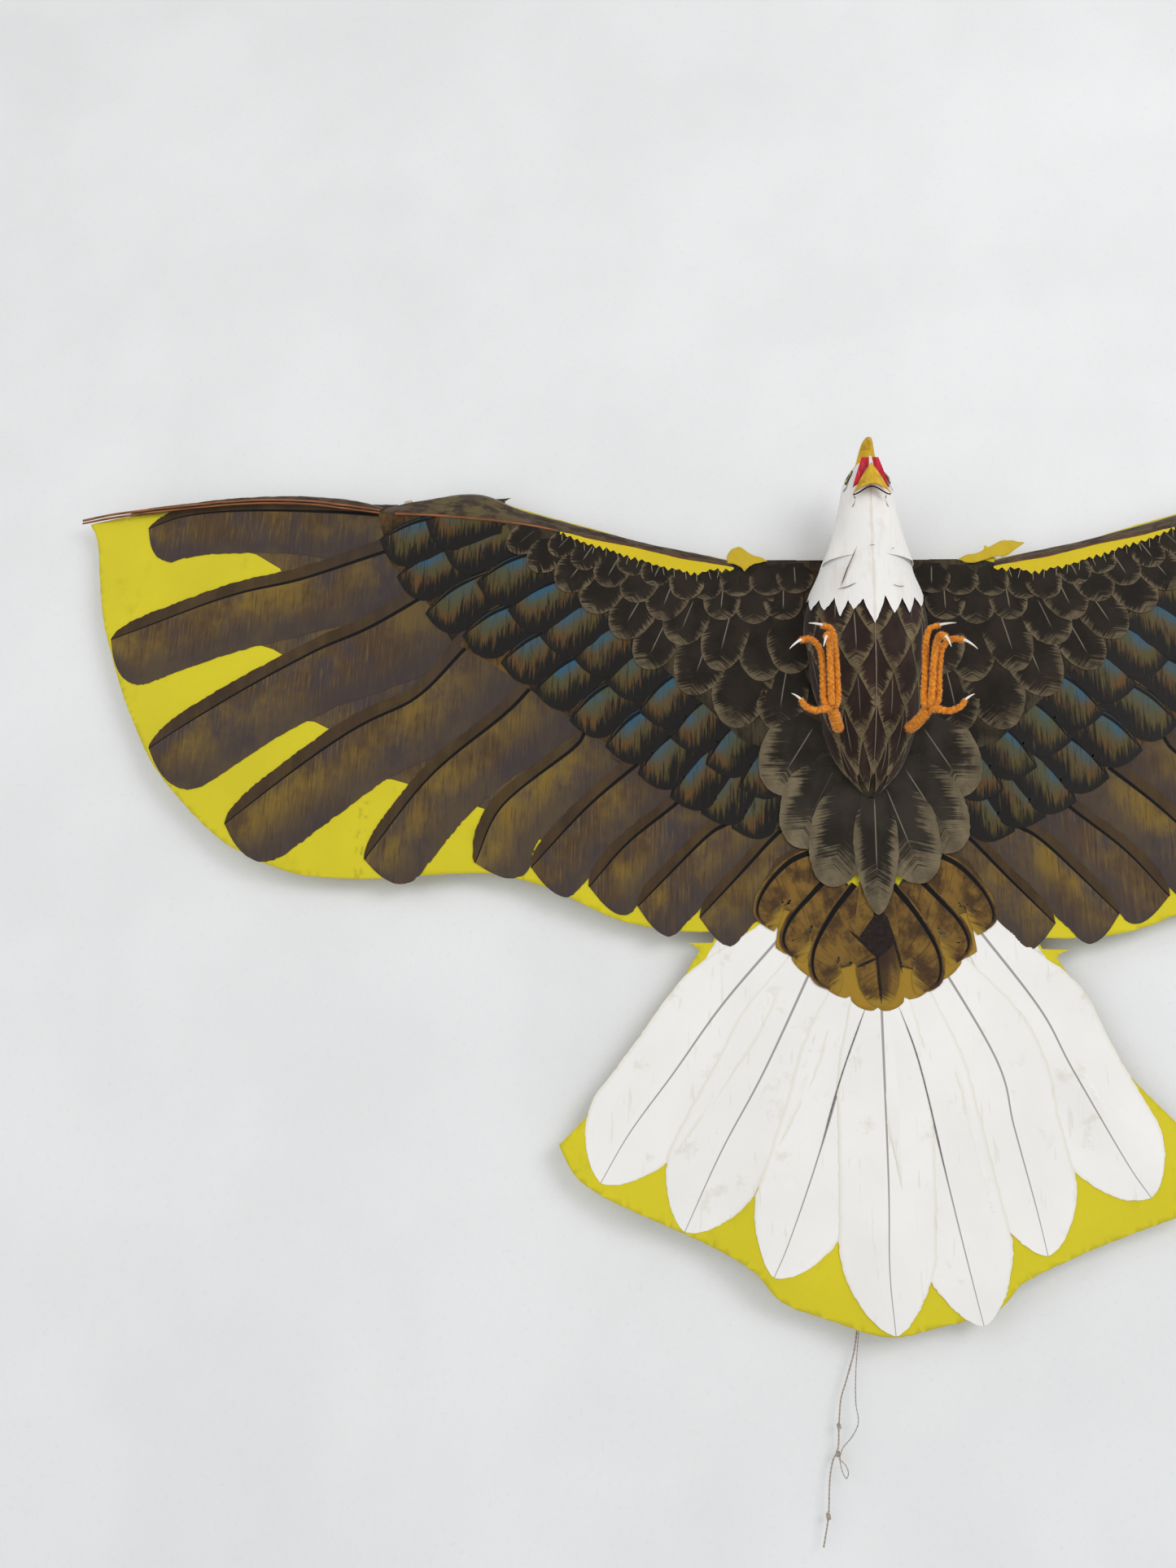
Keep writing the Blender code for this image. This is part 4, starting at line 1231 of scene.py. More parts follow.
# lobes of the cloth over the tail's root, from the root of each quill to the lobe's lowest place
LOBES = mm([
    ([(-46, -272), (-70, -283), (-91, -306), (-98, -328), (-84, -343)], 36),
    ([(-34, -292), (-52, -311), (-71, -334), (-76, -354), (-60, -369)], 36),
    ([(-16, -302), (-35, -327), (-51, -358), (-50, -382), (-31, -393)], 36)
])
TAIL_FEATHERS = mm([
    ([(-68, -335), (-126, -403), (-168, -462), (-203, -510), (-226, -550)], 40, 40),
    ([(-40, -345), (-92, -455), (-128, -521), (-158, -585)], 38, 38),
    ([(-4, -350), (-31, -460), (-53, -529), (-76, -590), (-88, -616)], 37, 37),
    ([(83, -335), (131, -403), (152, -450), (188, -520), (205, -547)], 39, 40),
    ([(40, -345), (93, -443), (104, -496), (116, -556), (122, -592)], 37, 37),
    ([(12, -350), (32, -450), (55, -565), (67, -622), (72, -645)], 37, 37),
    ([(3, -350), (3, -531), (1, -606), (4, -654)], 38, 38)
])
TAIL_GROUND = mm([
    (-128, -345), (-139, -362), (-158, -400), (-186, -453), (-214, -486), (-226, -508), (-160, -500),
    (-96, -524), (-38, -580), (34, -596), (90, -558), (134, -500), (212, -500), (205, -478), (186, -453),
    (158, -400), (139, -362), (128, -345)
])


class KITE_OT_tail(bpy.types.Operator):
    """Paints the white tail feathers and adds the scalloped brown flap over the tail's root"""

    bl_idname = "kite.tail"
    bl_label = "Tail"

    def execute(self, context):
        coat = sizes().coat
        ground = Coat()
        ground.area(TAIL_GROUND, 0.8 * coat, 0.2)
        under = ground.piece("tail_ground", white_finish("white tail ground", False))
        sheet = Coat()
        for i, (quill, above, below) in enumerate(TAIL_FEATHERS):
            sheet.feather(quill, above, below, (1.4 + 0.35 * i) * coat, (0.2 + 0.31 * i) % 1.0, tip=0.20,
                          base=0.45, jag=0.0009, blunt=1.55)
        white = sheet.piece("tail_feathers", white_finish("white tail paint", True))
        shafts = Coat()
        for line in ([(-0.008, -0.400), (-0.031, -0.460), (-0.050, -0.520)],
                     [(0.016, -0.400), (0.032, -0.450), (0.050, -0.540)]):
            shafts.stroke(line, 0.0006, 4.4 * coat)
        shafts = shafts.piece("tail_shafts", plain_finish("shaft ink", paint(120, 116, 112), 0.7,
                                                          (300, 300, 300), 0.3))
        flap = outline_of("undertail_flap")
        top = max(z for _, z in flap)
        wide = max(x for x, _ in flap)
        neck = [(-wide, top), (wide, top), (wide - 0.004, top + 0.030), (-wide + 0.004, top + 0.030)]
        verts, faces = fill([soften(flap, 0.003, 0.0004), neck], 0.006)
        cloth, flat, area = cloth_piece("flap_cloth", verts, [f for _, _, f in faces],
                                        cloth_finish("flap edge cloth", paint(158, 124, 42)), -4.6 * coat)
        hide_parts("undertail_flap")
        lobes = Coat()
        for i, (quill, below) in enumerate(LOBES):
            for side in (-1, 1):
                lobes.feather(mirrored(quill, side), 0.004, below, (6.0 + 0.5 * i) * coat,
                              (0.2 + 0.3 * i + 0.13 * side) % 1.0, tip=0.42, base=0.8, jag=0.0006,
                              roll=0.3 * coat)
        lobes.feather([(0.002, -0.300), (0.001, -0.360), (0.002, -0.4045)], 0.018, 0.018, 7.8 * coat, 0.7,
                      tip=0.3, base=0.8, jag=0.0005)
        painted = lobes.piece("flap_lobes", flap_finish("flap paint"))
        marks = Coat()
        marks.area([(0.004, -0.322), (-0.015, -0.349), (0.001, -0.364), (0.016, -0.351), (0.011, -0.330)],
                   8.5 * coat, 0.5, 0.004)
        for line in ([(0.003, -0.322), (0.001, -0.364)], [(0.001, -0.364), (0.016, -0.350)],
                     [(-0.022, -0.341), (-0.010, -0.352), (0.001, -0.364)], [(0.001, -0.362), (0.003, -0.402)],
                     [(0.001, -0.364), (-0.016, -0.372)], [(0.010, -0.330), (0.018, -0.360), (0.021, -0.376)]):
            marks.stroke(line, 0.0011, 9.0 * coat)
        dark = marks.piece("flap_marks", plain_finish("flap ink", paint(38, 29, 27), 0.7,
                                                      (300, 300, 300), 0.35))
        for piece, slot in ((under, "tail_cloth"), (white, "tail_cloth"), (shafts, "tail_cloth"), (cloth, "flap_cloth"),
                            (painted, "flap_cloth"), (dark, "flap_cloth")):
            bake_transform(piece)
        return {"FINISHED"}


class KITE_OT_belly(bpy.types.Operator):
    """Paints the fan of soft feathers below the body"""

    bl_idname = "kite.belly"
    bl_label = "Belly feathers"

    def execute(self, context):
        coat = sizes().coat
        finish = down_finish("belly feather paint", paint(42, 37, 31), paint(106, 95, 74), 0.52)
        for side, word in SIDES:
            outer = Coat()
            root, tip, width = BELLY_OUTER
            outer.feather(mirrored([root, tip], side), width / 2, width / 2, 10.6 * coat, 0.9, tip=0.6,
                          base=0.5, jag=0.001, rise=0.8 * coat)
            bend_with(outer.piece(f"{word}_belly_feather", finish), False)
        back = Coat()
        back.area([(-0.064, -0.0004), (0.064, -0.0004), (0.064, -0.260), (-0.064, -0.260)], 4.0 * coat, 0.3)
        under = back.piece("centre_ground",
                           ground_finish("centre ground paint", paint(30, 25, 21), paint(84, 66, 46)))
        seat(under, "body_cloth", "root")
        sheet = Coat()
        for i, (root, tip, width) in enumerate(BELLY):
            sheet.feather([root, tip], width / 2, width / 2, (12.2 + 0.9 * i) * coat, (0.4 + 0.37 * i) % 1.0,
                          tip=0.6 if i < 4 else 0.5, base=0.5, jag=0.001, blunt=2.0 if i < 4 else 1.6,
                          rise=0.6 * coat)
        piece = sheet.piece("belly_feathers", finish)
        seat(piece, "body_cloth", "root")
        return {"FINISHED"}


class KITE_OT_body(bpy.types.Operator):
    """Adds the stuffed body with its diamond feathers and centre seam"""

    bl_idname = "kite.body"
    bl_label = "Body"

    def execute(self, context):
        tones = colours()
        columns = 57
        heights = [NECK_Z + (BODY_BOX[0].z - NECK_Z) * i / 56 for i in range(57)]
        points = []
        for z in heights:
            for j in range(columns):
                angle = math.pi * (j / (columns - 1) - 0.5)
                dent = 0.0008 * wobble(angle * 2.0, z * 26.0, seed=4.0)
                points.append(body_place(angle, z, dent - 0.0004))
        cut = [tuple(p) for p in points]
        skin = make_piece("body_shell", points, grid_faces(57, columns, False),
                          ground_finish("body ground paint", shade(tones.dark, 1.1), shade(tones.taupe, 0.55)),
                          {"cut": cut})
        thicken(skin, 0.0008)
        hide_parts("body_skin")
        sheet = Coat(on_body)
        row_step = 0.0285
        rows = 8
        for i in range(rows):
            z = NECK_Z - 0.018 - row_step * i
            odd = i % 2
            for k in range(-3, 4):
                u = (k + 0.5 * odd) * 0.0335
                if abs(u) > 0.078:
                    continue
                foot = max(z - 0.058, BODY_BOX[0].z + 0.003)
                if foot > z - 0.020:
                    continue
                sheet.feather([(u, z), (u + 0.001, (z + foot) / 2), (u, foot)], 0.019, 0.019,
                              0.0006 + 0.00012 * (rows - i) + 0.00003 * (k % 2), (0.31 * i + 0.47 * k) % 1.0,
                              tip=0.62, base=0.25, jag=0.0007, blunt=1.35, rise=0.0005)
        scales = sheet.piece("body_scales", down_finish("body scale paint", paint(48, 34, 29),
                                                        paint(112, 98, 72), 0.62))
        seam = Coat(on_body)
        seam.stroke([(0.0, NECK_Z - 0.05), (0.0006, NECK_Z - 0.13), (0.0, BODY_BOX[0].z + 0.012)],
                    0.0006, 0.0024)
        for z in [NECK_Z - 0.062 - 0.0085 * k for k in range(16)]:
            seam.stroke([(-0.0012, z), (0.0012, z - 0.001)], 0.0003, 0.0026)
        stitches = seam.piece("body_seam", thread_finish("seam thread", paint(120, 108, 96)))
        for piece in (skin, scales, stitches):
            seat(piece, "body_skin", "root")
        return {"FINISHED"}


# lower edge of the white hood: distance across from the middle, height
HOOD_TIPS = mm([
    (-47, -46), (-43.6, -61), (-38.8, -54), (-35, -67), (-28, -58), (-24.4, -76.5), (-18.6, -62),
    (-14.8, -72), (-8, -63), (0, -86), (8, -60), (15, -75.5), (21.5, -59), (27, -72.5), (32, -55),
    (37.5, -62), (44, -46), (47, -48)
])


def hood_edge(x):
    for (x0, z0), (x1, z1) in zip(HOOD_TIPS, HOOD_TIPS[1:]):
        if x0 <= x <= x1:
            t = (x - x0) / (x1 - x0)
            t = t ** 0.8 if z1 < z0 else 1 - (1 - t) ** 0.8
            return z0 + (z1 - z0) * t
    return HOOD_TIPS[0][1]


class KITE_OT_head(bpy.types.Operator):
    """Adds the white head, its spiked hood, creases and painted eyes"""

    bl_idname = "kite.head"
    bl_label = "Head"

    def execute(self, context):
        finish = self.head_finish()
        columns, rows = 72, 48
        points = []
        low = HEAD_BOX[0].z
        for i in range(rows + 1):
            z = low + (CROWN_Z - 0.001 - low) * i / rows
            for j in range(columns):
                angle = 2 * math.pi * j / columns
                dent = 0.0006 * wobble(math.cos(angle) * 2.0, math.sin(angle) * 2.0, z * 30.0, seed=5.0)
                points.append(head_place(angle, z, dent - 0.0002))
        faces = [face[::-1] for face in grid_faces(rows + 1, columns, True)]
        top = len(points)
        centre = head_place(0.0, CROWN_Z - 0.001, 0).lerp(head_place(math.pi, CROWN_Z - 0.001, 0), 0.5)
        points.append(centre + Vector((0, 0, 0.0008)))
        faces += [(top, rows * columns + j, rows * columns + (j + 1) % columns) for j in range(columns)]
        shell = make_piece("head_shell", points, faces, finish)
        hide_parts("head_skin")
        hood_columns, hood_rows = 181, 26
        points = []
        for i in range(hood_rows):
            for j in range(hood_columns):
                angle = (j / (hood_columns - 1) - 0.5) * math.radians(168)
                x = CHEST_HALF * 0.92 * math.sin(angle)
                foot = hood_edge(x) + 0.0011 * wobble(x * 700.0, 0.3)
                z = 0.006 + (foot - 0.006) * i / (hood_rows - 1)
                lift = -0.0010 + 0.0044 * smooth_step(0.005, NECK_Z - 0.024, z)
                points.append(hood_place(angle, z, lift))
        hood = make_piece("head_hood", points, grid_faces(hood_rows, hood_columns, False), finish)
        creases = Coat(on_head)
        for line, half in (([(-0.0125, -0.014), (-0.0170, -0.030), (-0.0212, -0.050)], 0.0005),
                           ([(-0.0230, -0.051), (-0.0170, -0.0510), (-0.0110, -0.0485)], 0.0004),
                           ([(-0.0035, -0.0150), (0.0020, -0.0148)], 0.0003),
                           ([(0.0150, -0.0160), (0.0190, -0.0152)], 0.0003),
                           ([(0.0120, -0.0500), (0.0170, -0.0506), (0.0210, -0.0490)], 0.0003)):
            creases.stroke(line, half, 0.0045)
        crease_piece = creases.piece("head_creases", plain_finish("crease pencil", paint(120, 100, 88), 0.8))
        marks = Coat(head_place)
        for side in (-1, 1):
            marks.stroke([(side * x, z) for x, z in ((0.62, 0.0400), (0.58, 0.0350), (0.53, 0.0320),
                                                     (0.56, 0.0275), (0.63, 0.0245))], 0.00065, 0.0007)
            marks.stroke([(side * x, z) for x, z in ((0.86, 0.0700), (1.02, 0.0665), (1.15, 0.0570),
                                                     (1.18, 0.0465))], 0.0009, 0.0006)
            marks.stroke([(side * x, z) for x, z in ((0.86, 0.0680), (0.84, 0.0580), (0.94, 0.0480),
                                                     (1.16, 0.0440))], 0.0006, 0.0006)
        lines = marks.piece("face_lines", plain_finish("face ink", colours().ink, 0.6, (400, 400, 400), 0.3))
        parts = {}
        for name, wide, tall, lift, tone in (("eye_rims", 0.155, 0.0078, 0.0004, colours().ink),
                                             ("eyes", 0.105, 0.0052, 0.0008, paint(214, 196, 120)),
                                             ("pupils", 0.055, 0.0030, 0.0012, colours().ink)):
            disc = Coat(head_place)
            for side in (-1, 1):
                self.almond(disc, side * 1.00, 0.0575, wide, tall, lift)
            parts[name] = disc.piece(name, plain_finish(name + " paint", tone, 0.35, (500, 500, 500), 0.15))
        for piece in (shell, hood, crease_piece, lines, *parts.values()):
            seat(piece, "head_skin", "root")
        return {"FINISHED"}

    def almond(self, sheet, angle, z, wide, tall, lift):
        centre = sheet.dab(angle, z, lift, 0, 0, 0.5, 0, 0)
        rim = []
        for i in range(28):
            turn = 2 * math.pi * i / 28
            u = angle + wide * math.cos(turn)
            v = z + tall * math.sin(turn) * (1 - 0.25 * abs(math.cos(turn))) + 0.002 * math.cos(turn)
            rim.append(sheet.dab(u, v, lift, 0, 1, 0.5, 0, 0))
        for i in range(28):
            face = (centre, rim[i], rim[(i + 1) % 28])
            sheet.faces.append(face)

    def head_finish(self):
        tones = colours()
        made = Finish("white head cloth", 0.7, 0.1)
        place = made.place()
        colour = blotch(made, shade(tones.white, 0.96), place, (18, 18, 18), 0.03)
        strokes = made.grain(place, (420, 420, 26), 3.0, 0.6)
        colour = made.wash(colour, paint(206, 196, 184), strokes, 0.55, 0.75, 0.30)
        offset = made.size(made.part(place, "X"))
        middle = made.plus(offset, made.times(made.grain(place, (80, 80, 60)), 0.004))
        colour = made.wash(colour, paint(204, 186, 164), middle, 0.0042, 0.0022, 0.40)
        stain = made.grain(place, (50, 50, 22), 4.0, 0.6)
        colour = made.wash(colour, paint(214, 202, 192), stain, 0.56, 0.72, 0.35)
        return made.coat(colour).bump(strokes, 0.0005, 0.5).made


class KITE_OT_beak(bpy.types.Operator):
    """Adds the hooked upper beak, the red mouth, the tongue and the lower beak"""

    bl_idname = "kite.beak"
    bl_label = "Beak"

    def execute(self, context):
        tones = colours()
        yellow = self.beak_finish("beak paint", tones.beak)
        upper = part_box("upper_beak")
        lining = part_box("mouth_lining")
        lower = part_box("lower_beak")
        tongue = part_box("tongue")
        path = spline([(0.0, -0.0560, upper[0].z - 0.004), (0.0, -0.0600, upper[0].z + 0.005),
                       (0.0, -0.0650, upper[1].z - 0.006), (0.0, -0.0725, upper[1].z - 0.0040),
                       (0.0, -0.0790, upper[1].z - 0.0062),
                       (0.0, upper[0].y + 0.0022, upper[0].z + 0.0098)], 0.0012)
        run = lengths(path)
        points = []
        count = 24
        for i, place in enumerate(path):
            share = run[i] / run[-1]
            ahead = heading(path, i)
            across = Vector((1, 0, 0))
            up = across.cross(ahead).normalized()
            wide = 0.0098 * (1 - share) ** 0.80 + 0.0006
            deep = 0.0082 * (1 - share) ** 0.65 + 0.0007
            for j in range(count):
                turn = 2 * math.pi * j / count
                ridge = 1 + 0.10 * max(0.0, math.sin(turn)) ** 6
                points.append(place + across * wide * math.cos(turn) + up * deep * math.sin(turn) * ridge)
        faces = grid_faces(len(path), count, True)
        faces.append(tuple(range(count)))
        faces.append(tuple((len(path) - 1) * count + j for j in range(count))[::-1])
        top = make_piece("beak_hook", points, faces, yellow)
        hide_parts("upper_beak")
        red = self.sheet_between("mouth_red", lining, 0.0026, -0.0010, self.mouth_finish(),
                                 self.mouth_width, 0.0062)
        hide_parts("mouth_lining")
        jaw = self.sheet_between("beak_jaw", lower, 0.0012, 0.0052, yellow, self.jaw_width)
        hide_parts("lower_beak")
        strip = spline([(0.0, lining[0].y - 0.0004, lower[1].z - 0.004),
                        (0.0, tongue[0].y + 0.0035, tongue[0].z + 0.004),
                        (0.0, lining[0].y - 0.0002, tongue[1].z + 0.004)], 0.001)
        points, faces = sweep(strip, lambda share, gone, angle: (0.0031 - 0.0014 * share)
                              * (1 - 0.45 * abs(math.sin(angle))))
        tip = make_piece("beak_tongue", points, faces, plain_finish("tongue paint", paint(232, 224, 214), 0.6,
                                                                    (300, 300, 300), 0.06))
        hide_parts("tongue")
        rim = spline([(x, lower[0].y + 0.0050 - 0.0022 * math.cos(x * 90), lower[0].z + 0.0008 + 0.0068
                       * math.cos(x * 98) ** 2) for x in [0.0162 * (i / 8 - 1) for i in range(17)]], 0.001)
        points, faces = sweep(rim, lambda share, gone, angle: 0.0006)
        line = make_piece("jaw_line", points, faces, plain_finish("beak ink", tones.ink, 0.6))
        for piece, slot in ((top, "beak"), (jaw, "beak"), (red, "mouth"), (tip, "tongue"), (line, "beak")):
            seat(piece, slot, "root")
        return {"FINISHED"}

    def mouth_width(self, share):
        return 0.0158 - 0.0085 * share ** 1.1

    def jaw_width(self, share):
        return 0.0160 * (1 - share) ** 0.8 + 0.0006

    def sheet_between(self, name, box, thick, crown, finish, width, raised=0.0):
        """A shaped plate over a CAD plate: crowned across, with a rounded edge and a hollow foot."""
        rows, columns = 18, 19
        front, back = [], []
        for i in range(rows + 1):
            share = i / rows
            half = width(share)
            for j in range(columns):
                t = 2 * j / (columns - 1) - 1
                arch = 0.0075 * (1 - t * t) * (1 - share) ** 2
                z = box[0].z + raised + (box[1].z - box[0].z - raised) * share + arch
                swell = crown * (1 - t * t) * (0.6 + 0.4 * math.sin(math.pi * min(1.0, share + 0.3)))
                y = (box[0].y + box[1].y) / 2 - swell
                front.append(Vector((half * t, y - thick / 2 * (1 - 0.6 * t * t), z)))
                back.append(Vector((half * t, y + thick / 2, z)))
        size = columns
        points = front + back
        faces = grid_faces(rows + 1, size, False)
        shift = len(front)
        faces += [tuple(shift + k for k in face)[::-1] for face in grid_faces(rows + 1, size, False)]
        ring = ([j for j in range(size)] + [i * size + size - 1 for i in range(1, rows + 1)]
                + [rows * size + j for j in range(size - 2, -1, -1)]
                + [i * size for i in range(rows - 1, 0, -1)])
        for a, b in zip(ring, ring[1:] + ring[:1]):
            faces.append((a, b, shift + b, shift + a))
        return make_piece(name, points, faces, finish)

    def beak_finish(self, name, base):
        made = Finish(name, 0.5)
        place = made.place()
        colour = blotch(made, base, place, (160, 160, 120), 0.14)
        olive = made.grain(place, (120, 120, 90), 4.0, 0.6)
        colour = made.wash(colour, paint(146, 116, 44), olive, 0.5, 0.68, 0.55)
        speck = made.grain(place, (900, 900, 500), 3.0)
        colour = made.wash(colour, paint(92, 74, 36), speck, 0.62, 0.7, 0.4)
        return made.coat(colour).bump(speck, 0.0002, 0.6).made

    def mouth_finish(self):
        made = Finish("mouth red paint", 0.5)
        place = made.place()
        colour = blotch(made, colours().mouth, place, (200, 200, 80), 0.2)
        streak = made.grain(place, (700, 700, 60), 3.0)
        colour = made.wash(colour, paint(226, 150, 150), streak, 0.55, 0.7, 0.45)
        return made.coat(colour).bump(streak, 0.0002, 0.6).made


# legs drawn for the right side, from the hip outwards
THIGH = mm([
    (30, -49, -171.5), (32.5, -60, -171.5), (35.8, -72, -169.5), (39.2, -81.5, -165)
])
TOES = mm({
    "inner": ([(35.2, -86.5, -159), (36.2, -92.5, -133), (37.2, -94, -113), (40, -96.5, -101),
        (48, -100, -98.5)], (60, -106, -99)),
    "middle": ([(40.7, -90.5, -157), (41.8, -97.5, -133), (43, -104, -118), (45, -113, -113),
        (47.5, -120, -117)], (50.5, -124.5, -127.5)),
    "outer": ([(46.2, -86.5, -159), (47.4, -92.5, -133), (50, -94.5, -117), (57.5, -98.5, -110.5),
        (66, -103, -113)], (76, -106, -122)),
    "hind": ([(47, -88.5, -168), (54, -90.5, -170), (62, -93, -167.5),
        (66.5, -95, -162)], (74, -96, -157)),
})
STEM_RADIUS = 0.0044
TOE_RADIUS = 0.0030


class KITE_OT_legs(bpy.types.Operator):
    """Adds the orange chenille legs with their white claws"""

    bl_idname = "kite.legs"
    bl_label = "Legs"
    core = 1.0

    def execute(self, context):
        fuzz = self.chenille_finish()
        white = plain_finish("claw sleeve", paint(240, 236, 226), 0.45, (400, 400, 400), 0.08)
        for side, word in SIDES:
            stems, claws, hairs = [], [], ([], [])
            ankle = self.on_side(THIGH, side)
            routes = [(ankle, STEM_RADIUS, 1.0)]
            for name, (route, tip) in TOES.items():
                path = [Vector(THIGH[-1]).lerp(Vector(route[0]), 0.25)] + [Vector(p) for p in route]
                routes.append((self.on_side(path, side), TOE_RADIUS, 0.78))
                end = Vector(route[-1])
                lean = (end - Vector(route[-2])).normalized()
                claw = [end - lean * 0.003, end + lean * 0.0012,
                        (end + Vector(tip)) / 2 + lean * 0.0016, Vector(tip)]
                claws.append(sweep(spline(self.on_side(claw, side), 0.0012),
                                   lambda share, gone, angle: 0.0013 * (1 - share) ** 0.7 + 0.00012))
            for i, (route, radius, taper) in enumerate(routes):
                path = spline(route, 0.0009)
                seed = i + 0.5 * side

                def ring(share, gone, angle):
                    lumps = 1 + 0.12 * math.sin(2 * angle + gone * 1500.0)
                    ends = min(1.0, 0.35 + gone / (0.5 * radius)) if i == 0 else 1.0
                    return radius * self.core * (1 - (1 - taper) * share) * lumps * ends * (
                        1 + 0.25 * wobble(gone * 700.0, angle * 0.8, seed=seed))

                stems.append(sweep(path, ring))
                self.bristle(hairs, path, radius, taper, seed)
            parts = merge(stems + [hairs])
            legs = make_piece(f"{word}_chenille", *parts, fuzz)
            seat(legs, "chenille", f"{word}_leg", f"{word}_thigh", *(f"{word}_{name}_toe" for name in TOES))
            ends = make_piece(f"{word}_claws", *merge(claws), white)
            seat(ends, "claw", f"{word}_leg", *(f"{word}_{name}_claw" for name in TOES))
        return {"FINISHED"}

    def on_side(self, route, side):
        return [Vector((side * p[0], p[1], p[2])) for p in route]

    def bristle(self, hairs, path, radius, taper, seed):
        """Fine fibres that stand out all round a stem."""
        points, faces = hairs
        run = lengths(path)
        places = frames_along(path)
        per_step = 46
        for i, (place, ahead, normal, across) in enumerate(places):
            share = run[i] / run[-1]
            core = radius * (self.core - 0.06) * (1 - (1 - taper) * share)
            for k in range(per_step):
                spin = wobble(i * 3.1, k * 1.7, seed=seed)
                angle = 2 * math.pi * (k / per_step + 0.9 * spin) + i * 0.7
                out = (normal * math.cos(angle) + across * math.sin(angle) + ahead * 1.1
                       * wobble(k * 2.3, i * 1.9, seed=seed + 3)).normalized()
                reach = sizes().fluff * (0.55 + 0.9 * abs(wobble(i * 5.7, k * 4.1, seed=seed + 7)))
                foot = place + out * core + ahead * 0.0009 * (k / per_step - 0.5)
                tip = foot + out * reach
                half = out.cross(ahead).normalized() * 0.00016
                start = len(points)
                points += [foot - half, foot + half, tip]
                faces.append((start, start + 1, start + 2))

    def chenille_finish(self):
        base = colours().orange
        made = Finish("orange chenille", 0.9, 0.5)
        place = made.place()
        tuft = made.grain(place, (520, 520, 520), 3.0)
        colour = made.mix(made.step(tuft, 0.32, 0.68), shade(base, 0.62), shade(base, 1.06))
        deep = made.grain(place, (150, 150, 150), 2.0)
        colour = made.wash(colour, paint(214, 106, 14), deep, 0.52, 0.7, 0.4)
        return made.coat(colour).bump(tuft, 0.0004, 0.6).made


# edges of the wrapped spar, drawn for the left wing
WRAP_TOP = mm([
    (-451, 52), (-445, 57), (-410, 64), (-374, 70), (-350, 68), (-318, 53), (-279, 41), (-240, 29),
    (-194, 16), (-150, 6), (-119, -1)
])
WRAP_LOW = mm([
    (-451, 50), (-440, 50), (-405, 49), (-372, 46), (-342, 41), (-301, 35), (-253, 22), (-212, 13),
    (-171, 2), (-140, -4), (-117, -9)
])
# edges of the rolled hem on the wing tip, and the route of the strips in front of it
TIP_TOP = mm([
    (-700, 53.5), (-665, 59), (-588, 68), (-528, 69), (-485, 65), (-450.5, 57.5)
])
TIP_LOW = mm([
    (-700, 51), (-665, 55.5), (-588, 61.5), (-528, 60), (-485, 56), (-450.5, 51)
])
STRIP_ROUTE = mm([
    (-747.5, 46.5), (-715, 50.5), (-665, 56), (-588, 63), (-528, 62.5), (-485, 57), (-452, 52)
])
STRIP_LOW = mm([
    (-117, -11), (-135, -10), (-150, -14), (-170, -10), (-188, -6), (-208, 2), (-222, 6), (-235, 12),
    (-256, 18), (-279, 29)
])


# outline of the folded corner of cloth at each shoulder
CORNER = mm({
    -1: [(-124, -3), (-122.5, 5), (-118, 10.5), (-112.5, 12), (-106, 8.5), (-98, 3.5), (-91, 0.8),
        (-86, -2.6), (-93, -3.4), (-99, -5), (-103.5, -8.5), (-107.5, -12.5), (-110, -8.5), (-115, -6)],
    1: [(85, -1), (95, 3.5), (104, 5.5), (113, 10.5), (124, 16.5), (135, 16.5), (146, 15), (138, 9),
        (128, 2), (118, 1), (106, -3), (96, -5)],
})


